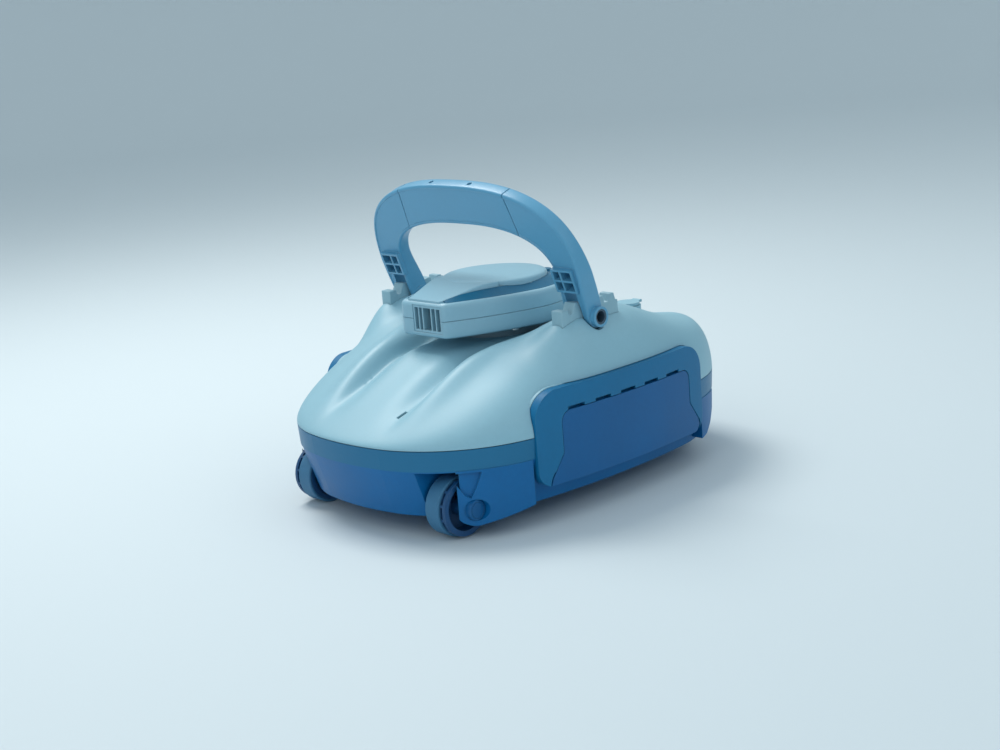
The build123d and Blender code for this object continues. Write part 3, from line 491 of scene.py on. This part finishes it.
# Lid: the domed top moulding in pale blue-grey plastic, 2.6 mm thick. Its front half swells into three
# lobes with a valley between each pair, its shoulders rise to the handle, and its tail steps down flat.
HALF_WIDTH, HALF_LENGTH, END_R, SIDE_R, CORNER_R = 139.0, 194.0, 240.0, 700.0, 110.0
END_TANGENT, SIDE_TANGENT, CORNER_AT = (43.0, 190.1), (132.2, 97.2), (23.29, 81.90)
LID_LOW, LID_WALL, LID_HOLE_R, LID_HOLE_Y = 75.6, 2.6, 36.0, -7.0
MIDDLE_LINE = [(-194, 86), (-94, 133), (60, 133), (98, 124), (194, 122)]
SHOULDER_LINE = [(-194, 88), (-79, 131), (-43, 149), (25, 161), (60, 152), (98, 134), (125, 127),
                 (194, 124)]
VALLEY_DEPTH, VALLEY_INNER, VALLEY_OUTER, SWELL, HUMP = 11.0, 14.0, 6.5, 4.5, 14.0
PANEL, PANEL_LOW_R, PANEL_HIGH_R, PANEL_DEPTH = (-101.4, 106.4, 31.6, 111.4), 15.4, 24.4, 6.4
FLAT_SHARE = 0.78
PIVOT_Y, PIVOT_Z, PIVOT_BORE = -9.0, 155.0, 6.46
PORT_Y, PORT_Z, PORT_R, PORT_BORE = 162, 121, 13.2, 9.5
SLOT_HALF, SLOT_AT, SLOT_TURN = (4.6, 1.5), (37.5, -157, 0), math.radians(80)


def rim_reach(turn, inset=0.0):
    """Distance from the middle to the plan's edge at a polar angle: where the ray meets the end, side or
    corner arc, each pulled in by the inset."""
    c, s = np.abs(np.cos(turn)), np.abs(np.sin(turn))
    arcs = [((0.0, HALF_LENGTH - END_R), END_R), ((HALF_WIDTH - SIDE_R, 0.0), SIDE_R), (CORNER_AT, CORNER_R)]
    hits = []
    for (x, y), radius in arcs:
        beside = x * s - y * c
        hits.append(x * c + y * s + np.sqrt(np.maximum((radius - inset) ** 2 - beside**2, 0)))
    steep = s * END_TANGENT[0] > c * END_TANGENT[1]
    shallow = s * SIDE_TANGENT[0] < c * SIDE_TANGENT[1]
    return np.where(steep, hits[0], np.where(shallow, hits[1], hits[2]))


def eased(t):
    """0 below 0, 1 above 1, and 3t^2 - 2t^3 between."""
    t = np.clip(t, 0, 1)
    return t * t * (3 - 2 * t)


def soft_line(y, knots, softness):
    """A line through the knots whose slope changes smoothly: each change of slope d at y0 adds
    d times (t + sqrt(t^2 + softness^2)) / 2, with t = y - y0."""
    knots = np.asarray(knots, float)
    slopes = np.diff(knots[:, 1]) / np.diff(knots[:, 0])
    z = knots[0, 1] + slopes[0] * (y - knots[0, 0])
    for start, change in zip(knots[1:-1, 0], np.diff(slopes)):
        t = y - start
        z = z + change * (t + np.sqrt(t * t + softness**2)) / 2
    return z


def lid_crown(x, y):
    """Height of the lid's top before it rolls over at the rim: the middle line blends into the shoulder
    line across |x| 46 to 88, less a bell-shaped valley along |x| = 43 at the front, steeper on its outer
    side, plus a swell along each side lobe and a hump under the front of each bracket that fades to a
    fifth of its height behind the pivot."""
    away = np.abs(x)
    rise = eased((away - 46) / 42)
    z = soft_line(y, MIDDLE_LINE, 16) * (1 - rise) + soft_line(y, SHOULDER_LINE, 18) * rise
    run = eased((y + 192) / 80) * eased((-16 - y) / 60)
    track = 41 + 0.035 * (y + 120)
    side = np.where(away < track, VALLEY_INNER, VALLEY_OUTER)
    valley = VALLEY_DEPTH * run * np.exp(-(((away - track) / side) ** 2))
    swell = SWELL * run * np.exp(-(((away - track - 18) / 10) ** 2)) - 1.5 * run * np.exp(-((away / 26) ** 2))
    hump = HUMP * eased((away - 84) / 30) * eased((y + 76) / 34) * eased((74 - y) / 40)
    return z - valley + swell + hump * (1 - 0.8 * eased((y + 30) / 45))


def roll_power(x, y):
    """How square the lid's edge is: 6 at the nose and all along its middle, and past |x| = 70, 8.5 beside
    the brackets and 13.5 at the tail's corners."""
    return 6 + (2.5 * eased((y + 85) / 45) + 5 * eased((y - 80) / 70)) * eased((np.abs(x) - 25) / 45)


def lid_skin(thickness, turns, shares):
    """One face of the lid: points run from the pump opening (share 0) to the rim (share 1), and
    z = low + (crown - thickness - low) * sqrt(1 - rho^power), rho being the share of the plan's reach."""
    rim = rim_reach(turns, thickness)
    hole_x, hole_y = LID_HOLE_R * np.cos(turns), LID_HOLE_Y + LID_HOLE_R * np.sin(turns)
    x = hole_x + shares[:, None] * (rim * np.cos(turns) - hole_x)
    y = hole_y + shares[:, None] * (rim * np.sin(turns) - hole_y)
    rho = np.minimum(np.hypot(x, y) / rim_reach(np.arctan2(y, x), thickness), 1)
    rho[-1] = 1
    z = LID_LOW + (lid_crown(x, y) - thickness - LID_LOW + 0.6) * np.sqrt(1 - rho ** roll_power(x, y))
    return np.stack([x, y, z], axis=-1)


def bar_along_y(y_values, x_in, x_out, z_low, z_high):
    """A bar carried along Y: at each y a rectangle from x_in to x_out and z_low to z_high."""
    y_values = np.asarray(y_values, float)
    sides = [np.broadcast_to(np.asarray(v, float), y_values.shape) for v in (x_in, x_out, z_low, z_high)]
    x_in, x_out, z_low, z_high = sides
    corners = [(x_in, z_low), (x_out, z_low), (x_out, z_high), (x_in, z_high)]
    grid = np.stack([np.stack([x, y_values, z], axis=-1) for x, z in corners], axis=1)
    return sheet_of(grid, capped=True)


def brick(low, high):
    """A plain block between two corners, used only to cut or to fill."""
    return bar_along_y([low[1], high[1]], low[0], high[0], low[2], high[2])


def bore(x0, x1, y, z, radius, count=56):
    """A plain round bar along X, used only to cut."""
    turn = np.linspace(0, 2 * np.pi, count, endpoint=False)
    rings = [np.stack([np.full(count, x), y + radius * np.cos(turn), z + radius * np.sin(turn)], axis=-1)
             for x in (x0, x1)]
    return sheet_of(np.stack(rings), capped=True)


def upright(x, y, z0, z1, radius, count=56):
    """A plain round bar along Z, used only to cut or to fill."""
    turn = np.linspace(0, 2 * np.pi, count, endpoint=False)
    rings = [np.stack([x + radius * np.cos(turn), y + radius * np.sin(turn), np.full(count, z)], axis=-1)
             for z in (z0, z1)]
    return sheet_of(np.stack(rings), capped=True)


def carve(piece, shapes, operation="DIFFERENCE", crease=32):
    """Cuts shapes out of a piece, or joins them to it, and keeps the finished mesh."""
    tool = piece_of("tool", shapes)
    step = piece.modifiers.new("carve", "BOOLEAN")
    step.operation, step.solver, step.object, step.use_self = operation, "EXACT", tool, True
    graph = bpy.context.evaluated_depsgraph_get()
    mesh = bpy.data.meshes.new_from_object(piece.evaluated_get(graph))
    piece.modifiers.clear()
    old, piece.data = piece.data, mesh
    bpy.data.meshes.remove(old)
    tool_mesh = tool.data
    bpy.data.objects.remove(tool)
    bpy.data.meshes.remove(tool_mesh)
    mesh.name = piece.name
    mesh.shade_smooth()
    mesh.set_sharp_from_angle(angle=math.radians(crease))
    return piece


def side_wall(y, inset):
    """x of the plan's right edge at y: on the side arc, or on the corner arc past its tangent point."""
    side = HALF_WIDTH - SIDE_R + np.sqrt((SIDE_R - inset) ** 2 - y**2)
    past = np.maximum(np.abs(y) - CORNER_AT[1], 0)
    corner = CORNER_AT[0] + np.sqrt(np.maximum((CORNER_R - inset) ** 2 - past**2, 0))
    return np.where(np.abs(y) > SIDE_TANGENT[1], corner, side)


def panel_bar(x_inset, x_outer, z_floor=0.0):
    """The panel's rounded outline as a bar whose inner face follows the side, and its outer face too where
    x_outer is a small inset: at each y the outline's low and high edges come from its corner circles."""
    y0, y1, z0, z1 = PANEL
    low_r, high_r = PANEL_LOW_R, PANEL_HIGH_R
    bend = np.linspace(0, np.pi / 2, 14)
    ease = high_r * (1 - np.cos(bend))
    middle = np.linspace(y0 + high_r, y1 - high_r, 25)
    y = np.unique(np.round(np.concatenate([y0 + ease, middle, y1 - ease]), 4))
    edge = np.minimum(y - y0, y1 - y)
    low = z0 + low_r - np.sqrt(np.maximum(low_r**2 - np.maximum(low_r - edge, 0) ** 2, 0))
    high = z1 - high_r + np.sqrt(np.maximum(high_r**2 - np.maximum(high_r - edge, 0) ** 2, 0))
    x_in = side_wall(y, x_inset)
    x_out = np.full_like(y, x_outer) if x_outer > 50 else side_wall(y, x_outer)
    return bar_along_y(y, x_in, x_out, np.maximum(low, z_floor), high)


lid_turns = np.linspace(0, 2 * np.pi, 320, endpoint=False)
rolled = np.linspace(math.sqrt(1 - FLAT_SHARE**6), 0, 34)
lid_shares = np.concatenate([np.linspace(0, FLAT_SHARE, 56)[:-1], (1 - rolled**2) ** (1 / 6)])
outer_skin = lid_skin(0.0, lid_turns, lid_shares)
inner_skin = lid_skin(LID_WALL, lid_turns, lid_shares)[::-1]
lid = piece_of("lid", [sheet_of(np.concatenate([outer_skin, inner_skin]), round_rows=True)])
fills = []
for _, swap in SIDES:
    fills.append(swap(panel_bar(PANEL_DEPTH + LID_WALL, PANEL_DEPTH, LID_LOW)))
    fills.append(swap(brick((97.5, -45.5, 128), (114.6, 30.5, 146))))
fills.append(upright(0, PORT_Y, PORT_Z - 22, PORT_Z, PORT_R))
carve(lid, fills, "UNION")
cuts = []
for _, swap in SIDES:
    cuts += [swap(panel_bar(PANEL_DEPTH, 160.0)), swap(brick((101.8, -43.3, 146), (114.2, 25.3, 190)))]
    cuts.append(swap(bore(92, 101.8, PIVOT_Y - 0.6, PIVOT_Z + 0.5, 13)))
    cuts.append(swap(bore(114.2, 132, PIVOT_Y, PIVOT_Z, 11)))
cuts.append(upright(0, PORT_Y, PORT_Z - 12, PORT_Z + 9, PORT_BORE))
slot_c, slot_s = math.cos(SLOT_TURN), math.sin(SLOT_TURN)
slot_axes = np.array([[slot_c, -slot_s, 0], [slot_s, slot_c, 0], [0, 0, 1]])
slot_points, slot_faces = brick((-SLOT_HALF[0], -SLOT_HALF[1], 70), (*SLOT_HALF, 140))
cuts.append((slot_points @ slot_axes.T + SLOT_AT, slot_faces))
carve(lid, cuts)
pale = moulded("pale_shell", (0.265, 0.480, 0.575), (0.48, 0.66, 0.73), rough=0.46, mottle=0.16, cloud=9,
               edge=0.0009, wear=0.35, coat=0.03)
fitted(lid, pale, "cover", "cover_plastic", "upper_housing")

# Handle brackets: a pale moulded saddle set in a pocket in each shoulder of the lid, with a low block and a
# wedge before the pivot, a block and a horn behind it, and a dark open tube through it for the handle.
BRACKET_X = (102.0, 114.0)
BRACKET_LINE = [(-43, 146), (-43, 164.5), (-35.4, 164.5), (-34, 160), (-30.6, 160), (-26.6, 169),
                (-17.6, 168), (-14, 165.6), (-9, 164.6), (-4, 165.6), (0, 168), (7.4, 169), (9, 162.4),
                (13.6, 162.4), (16, 169), (20.6, 169), (22.6, 162.6), (25, 162.6), (25, 146)]


def saddle(line, x0, x1):
    """A side outline of (y, z) points carried straight from x0 to x1."""
    line = np.asarray(line, float)
    ends = [np.column_stack([np.full(len(line), x), line]) for x in (x0, x1)]
    return sheet_of(np.stack(ends), capped=True)


bracket_pale = moulded("bracket_plastic", (0.265, 0.450, 0.530), (0.58, 0.71, 0.76), rough=0.44, mottle=0.2,
                       wear=0.6)
pivot_dark = moulded("pivot_plastic", (0.045, 0.085, 0.125), (0.15, 0.2, 0.24), rough=0.4, mottle=0.3)
for side, swap in SIDES:
    bracket = piece_of(f"bracket_{side}", [swap(saddle(BRACKET_LINE, *BRACKET_X))], crease=20)
    soften = bracket.modifiers.new("soften", "BEVEL")
    soften.width, soften.segments, soften.angle_limit = 0.0007, 3, math.radians(24)
    carve(bracket, [swap(bore(95, 121, PIVOT_Y, PIVOT_Z, PIVOT_BORE, 72))], crease=40)
    fitted(bracket, bracket_pale, "cover", "bracket_plastic", f"handle_bracket_{side}")
dress(pivot_dark, "handle_pivot_tube_right", "handle_pivot_tube_left")

# Handle: a broad flat arch in three mouldings, a grip and two forked legs, with a thin raised lip along
# both edges of its front and latticed windows low on each leg. It leans forward on the pivot tubes.
LEAN = math.radians(20)
OUTER_ARCH, INNER_ARCH, ARCH_POWER = (125.0, 80.0, 40.0), (97.0, 48.0, 35.0), 2.6
OUTER_SEAM, INNER_SEAM, SEAM_GAP = 65.0, 69.0, 0.35
OUTER_FOOT, INNER_FOOT = 121.0, 95.6
CORNER, LIP_WIDTH, LIP_DEPTH = 2.2, 3.0, 0.7


def arch_height(x, arch):
    """Height of a superellipse arch over its pivot: spring + rise * (1 - |x / width|^p)^(1/p)."""
    width, rise, spring = arch
    return spring + rise * (1 - np.abs(x / width) ** ARCH_POWER) ** (1 / ARCH_POWER)


def leg_edge(arch, seam_x, foot_x, count):
    """x and height down one edge of a leg, evenly spaced: the arch from the seam to its spring line, then
    straight to the foot."""
    width, rise, spring = arch
    turn = np.linspace(np.pi / 2, 0, 600)
    reach = ((np.cos(turn) / width) ** ARCH_POWER + (np.sin(turn) / rise) ** ARCH_POWER) ** (-1 / ARCH_POWER)
    x, s = reach * np.cos(turn), spring + reach * np.sin(turn)
    x, s = np.append(x[x >= seam_x], foot_x), np.append(s[x >= seam_x], 0.0)
    run = np.concatenate([[0], np.cumsum(np.hypot(np.diff(x), np.diff(s)))])
    even = np.linspace(0, run[-1], count)
    return np.interp(even, run, x), np.interp(even, run, s)


def band(outer_x, outer_s, inner_x, inner_s):
    """A flat bar between two edges: at each station a rectangle with rounded corners spans them, its half
    thickness easing from 9.5 at the foot to 6.5, its front sunk between two lips."""
    wide_x, wide_s = outer_x - inner_x, outer_s - inner_s
    width = np.hypot(wide_x, wide_s)[:, None]
    ux, us = wide_x[:, None] / width, wide_s[:, None] / width
    mid_x, mid_s = (outer_x + inner_x)[:, None] / 2, (outer_s + inner_s)[:, None] / 2
    half = 9.5 - 3.0 * eased((mid_s - 12) / 52)
    reach = width / 2
    corner = np.linspace(0, np.pi / 2, 5)
    lip = np.array([-LIP_WIDTH, -LIP_WIDTH - 0.4])
    f, g = [], []
    for quarter, (sign_f, sign_g) in enumerate(((1, 1), (-1, 1), (-1, -1), (1, -1))):
        turn = quarter * np.pi / 2 + corner
        f.append(sign_f * (reach - CORNER) + CORNER * np.cos(turn))
        g.append(sign_g * (half - CORNER) + CORNER * np.sin(turn))
        if quarter == 2:
            f.append(np.concatenate([-reach - lip, (reach + lip)[:, ::-1]], axis=1))
            g.append(-half + np.array([0, LIP_DEPTH, LIP_DEPTH, 0]))
    f, g = np.concatenate(f, axis=1), np.concatenate(g, axis=1)
    return sheet_of(np.stack([mid_x + ux * f, g, mid_s + us * f], axis=-1), capped=True)


def leaned(shape):
    """Turned forward by the lean about X, then moved up to the pivot."""
    points, faces = np.asarray(shape[0]), shape[1]
    c, s = math.cos(LEAN), math.sin(LEAN)
    x, y, z = points[:, 0], points[:, 1], points[:, 2]
    return np.stack([x, y * c - z * s + PIVOT_Y, y * s + z * c + PIVOT_Z], axis=-1), faces


handle_blue = moulded("handle_plastic", (0.095, 0.325, 0.510), (0.38, 0.58, 0.69), rough=0.36, mottle=0.16,
                      cloud=10, wear=0.5, coat=0.12)
station = np.linspace(-1, 1, 64)
grip_out, grip_in = station * (OUTER_SEAM - SEAM_GAP), station * (INNER_SEAM - SEAM_GAP)
grip = piece_of("grip", [leaned(band(grip_out, arch_height(grip_out, OUTER_ARCH),
                                     grip_in, arch_height(grip_in, INNER_ARCH)))])
carve(grip, [leaned(upright(x, 0, 98, 125, 2.25, 24)) for x in (-24, 24)])
fitted(grip, handle_blue, "handle", "handle_plastic", "handle_grip")

leg_out = leg_edge(OUTER_ARCH, OUTER_SEAM + SEAM_GAP, OUTER_FOOT, 56)
leg_in = leg_edge(INNER_ARCH, INNER_SEAM + SEAM_GAP, INNER_FOOT, 56)
leg_frame = brick((96.4, -10.6, 27.4), (119.6, -6, 48.6))
leg_adds = [bore(INNER_FOOT, 101, 0, 0, 9.5, 72), bore(115, OUTER_FOOT, 0, 0, 9.5, 72),
            bore(120.5, 126, 0, 0, 8.6, 72), leg_frame]
leg_cuts = [brick((101, -20, -12), (115, 20, 26.6)), bore(90, 130, 0, 0, PIVOT_BORE, 72)]
for x0, x1 in ((98.4, 105.4), (107.2, 117.8)):
    for s0, s1 in ((29.2, 37.2), (39.0, 46.8)):
        leg_cuts.append(brick((x0, -20, s0), (x1, 1.5, s1)))
for side, swap in SIDES:
    leg = piece_of(f"leg_{side}", [swap(leaned(band(*leg_out, *leg_in)))])
    carve(leg, [swap(leaned(shape)) for shape in leg_adds], "UNION")
    carve(leg, [swap(leaned(shape)) for shape in leg_cuts])
    fitted(leg, handle_blue, "handle", "handle_plastic", f"handle_leg_{side}")

# Head: the pump's pod, two shells screwed together with a fine seam between them, a louvred nozzle in the
# front and back, and a raised round cover whose tongue runs out to the nose between two dark inlays.
NOSE, BELLY, WAIST, HIP, TAIL = (27.0, -94.0), (47.5, -52.0), (60.0, -5.0), (50.0, 38.0), (27.0, 70.0)
POD_LOW_SHAPE = [(4.0, 143.0), (1.8, 143.3), (0.6, 144.2), (0.0, 146.0), (0.0, 150.0), (0.0, 157.4),
                 (0.3, 157.75), (2.5, 157.75), (2.5, 145.5)]
POD_TOP_SHAPE = [(5.0, 173.0), (3.0, 172.8), (1.4, 171.9), (0.4, 170.4), (0.0, 168.6), (0.0, 163.0),
                 (0.0, 158.4), (0.3, 158.05), (2.5, 158.05), (2.5, 170.4)]
COVER_Y, COVER_R = -7.0, 46.0
COVER_SHAPE = [(0.0, 184.6), (16.0, 184.5), (30.0, 184.2), (39.0, 183.7), (43.4, 183.2), (45.0, 182.4),
               (45.8, 181.2), (46.0, 179.8), (46.0, 173.1), (41.5, 173.1), (41.5, 179.6), (38.0, 180.8),
               (0.0, 181.4)]
TONGUE_FROM, TONGUE_TO = -91.5, -38.0


def arc_through(a, b, c, count):
    """Points on the circle through a, b and c, from a to c: its centre is where their bisectors meet."""
    (ax, ay), (bx, by), (cx, cy) = a, b, c
    sums = ax**2 + ay**2, bx**2 + by**2, cx**2 + cy**2
    double = 2 * (ax * (by - cy) + bx * (cy - ay) + cx * (ay - by))
    x = (sums[0] * (by - cy) + sums[1] * (cy - ay) + sums[2] * (ay - by)) / double
    y = (sums[0] * (cx - bx) + sums[1] * (ax - cx) + sums[2] * (bx - ax)) / double
    start, end = math.atan2(ay - y, ax - x), math.atan2(cy - y, cx - x)
    sweep = (end - start + math.pi) % (2 * math.pi) - math.pi
    turn = start + sweep * np.linspace(0, 1, count)
    radius = math.hypot(ax - x, ay - y)
    return np.stack([x + radius * np.cos(turn), y + radius * np.sin(turn)], axis=1)


def pod_outline(count=264, rounds=5):
    """The pod's plan, spaced evenly from its nose anticlockwise; its corners are rounded by averaging each
    point with its neighbours a few times."""
    front, back = arc_through(NOSE, BELLY, WAIST, 60), arc_through(WAIST, HIP, TAIL, 60)[1:]
    right = np.vstack([[(0, NOSE[1])], front, back])
    loop = np.vstack([right, [(0, TAIL[1])], (right * (-1, 1))[:0:-1], right[:1]])
    run = np.concatenate([[0], np.cumsum(np.hypot(*np.diff(loop, axis=0).T))])
    even = np.linspace(0, run[-1], count, endpoint=False)
    outline = np.stack([np.interp(even, run, loop[:, 0]), np.interp(even, run, loop[:, 1])], axis=1)
    for _ in range(rounds):
        outline = (np.roll(outline, 1, axis=0) + 2 * outline + np.roll(outline, -1, axis=0)) / 4
    return outline


def drawn_in(outline, inset):
    """The outline moved inwards along its own normals."""
    along = np.roll(outline, -1, axis=0) - np.roll(outline, 1, axis=0)
    along /= np.hypot(*along.T)[:, None]
    return outline - inset * np.stack([along[:, 1], -along[:, 0]], axis=1)


def pod_shell(outline, shape, hole_r, hole_z):
    """A shell of the pod: the outline carried through (inset, z) steps, joined at its first and last step
    to a round hole about the pump's axis."""
    outwards = outline - (0, COVER_Y)
    hole = (0, COVER_Y) + hole_r * outwards / np.hypot(*outwards.T)[:, None]
    rows = [(hole, hole_z[0])] + [(drawn_in(outline, inset), z) for inset, z in shape] + [(hole, hole_z[1])]
    grid = np.stack([np.column_stack([plan, np.full(len(plan), z)]) for plan, z in rows])
    return sheet_of(grid, round_rows=True)


pod_grey = moulded("pod_plastic", (0.260, 0.465, 0.570), (0.48, 0.65, 0.72), rough=0.38, mottle=0.15,
                   cloud=11, wear=0.45, coat=0.1)
pod_plan = pod_outline()
nozzle_holes = [brick((-12, -99, 147), (23.5, -82, 170)), brick((-20, 58, 147), (20, 75, 170))]
pod_low = piece_of("pod_low", [pod_shell(pod_plan, POD_LOW_SHAPE, 36.2, (143.0, 145.5))])
carve(pod_low, nozzle_holes)
fitted(pod_low, pod_grey, "cover", "head_plastic", "head_lower_shell")
pod_top = piece_of("pod_top", [pod_shell(pod_plan, POD_TOP_SHAPE, 41.0, (173.0, 170.4))])
carve(pod_top, nozzle_holes + [upright(0, 55, 168, 178, 6.3, 40)])
fitted(pod_top, pod_grey, "cover", "head_plastic", "head_upper_shell")


def tongue_half(y):
    """Half width of the tongue: 20 near the nose, widening evenly to 37 at the round cover."""
    return 20 + 17 * (y + 90) / 52


def tongue_top(y):
    """Height of the tongue's top: it rises from the slab behind the nose and levels out at the cover."""
    return 173.2 + 10.1 * eased((y - TONGUE_FROM + 14) / 66)


tongue_y = np.linspace(TONGUE_FROM, TONGUE_TO, 40)[:, None]
side_step = np.array([0.0, 0.0, 0.35, 1.0, 2.0, 4.0])
drop = np.array([1.0, 0.30, 0.10, 0.03, 0.0, 0.0])
half_width, top_z = tongue_half(tongue_y), tongue_top(tongue_y)
right_x, right_z = half_width - side_step, 172.4 + (top_z - 172.4) * (1 - drop)
middle_x = np.linspace(0.8, -0.8, 9)[None, :] * (half_width - 4)
tongue_x = np.concatenate([right_x, middle_x, -right_x[:, ::-1]], axis=1)
tongue_z = np.concatenate([right_z, np.broadcast_to(top_z, middle_x.shape), right_z[:, ::-1]], axis=1)
tongue_grid = np.stack([tongue_x, np.broadcast_to(tongue_y, tongue_x.shape), tongue_z], axis=-1)


def turned_upright(shape, y, count=128):
    """An outline of (radius, z) points turned about an upright line at y."""
    shape = np.asarray(shape, float)
    turn = np.linspace(0, 2 * np.pi, count, endpoint=False)
    return sheet_of(np.stack([shape[:, :1] * np.cos(turn), y + shape[:, :1] * np.sin(turn),
                              np.repeat(shape[:, 1:], count, axis=1)], axis=-1))


round_cover = piece_of("round_cover", [turned_upright(COVER_SHAPE, COVER_Y)])
carve(round_cover, [sheet_of(tongue_grid, capped=True)], "UNION")
fitted(round_cover, pod_grey, "cover", "head_plastic", "top_deck")

# Inlays: two crescents of dark teal gloss plastic glued beside the tongue and the round cover, sloping up
# from the pod's rim to their edges.
INLAY_FROM, INLAY_TO, INLAY_LOW = -87.5, 55.0, 172.6
inlay_y = np.concatenate([np.linspace(INLAY_FROM, -60, 30)[:-1], np.linspace(-60, 30, 60)[:-1],
                          np.linspace(30, INLAY_TO, 24)])
edge_plan = drawn_in(pod_plan, 4.6)
edge_plan = edge_plan[(edge_plan[:, 0] > 0.5) & (edge_plan[:, 1] < INLAY_TO + 8)]
edge_plan = edge_plan[np.argsort(edge_plan[:, 1])]
rim_x = np.interp(inlay_y, edge_plan[:, 1], edge_plan[:, 0])
beside = np.sqrt(np.maximum((COVER_R + 0.25) ** 2 - (inlay_y - COVER_Y) ** 2, 0))
near_x = np.where(inlay_y < -7, np.maximum(tongue_half(inlay_y) + 0.3, beside), np.maximum(beside, 20.0))
near_x = np.minimum(near_x, rim_x - 0.4)
rise = np.where(inlay_y < -34, tongue_top(inlay_y) - 0.9, 178.6) - INLAY_LOW
fade = eased((inlay_y - 26) / 29)
rise = np.minimum(rise, 0.25 + 0.55 * (rim_x - near_x)) * (1 - fade) + 0.6 * fade
across_inlay = np.linspace(0, 1, 9)[None, :]
inlay_x = rim_x[:, None] + (near_x - rim_x)[:, None] * across_inlay
inlay_z = INLAY_LOW + 0.5 + rise[:, None] * across_inlay**1.15
inlay_low_x, inlay_low_z = inlay_x[:, ::-1], np.full_like(inlay_x, INLAY_LOW)
inlay_grid = np.stack([np.concatenate([inlay_x, inlay_low_x], axis=1),
                       np.broadcast_to(inlay_y[:, None], (len(inlay_y), 18)),
                       np.concatenate([inlay_z, inlay_low_z], axis=1)], axis=-1)
teal = moulded("inlay_gloss", (0.006, 0.125, 0.235), (0.08, 0.28, 0.40), rough=0.34, mottle=0.3, wear=0.3,
               coat=0.08, gleam=0.35)
inlays = piece_of("inlays", [sheet_of(inlay_grid, capped=True), across(sheet_of(inlay_grid, capped=True))])
fitted(inlays, teal, "cover", "accent_plastic", "head_accent")
dress(teal, "power_button")
dress(pale, "charge_cap")
dress(pod_grey, "front_nozzle_grille", "rear_nozzle_grille")
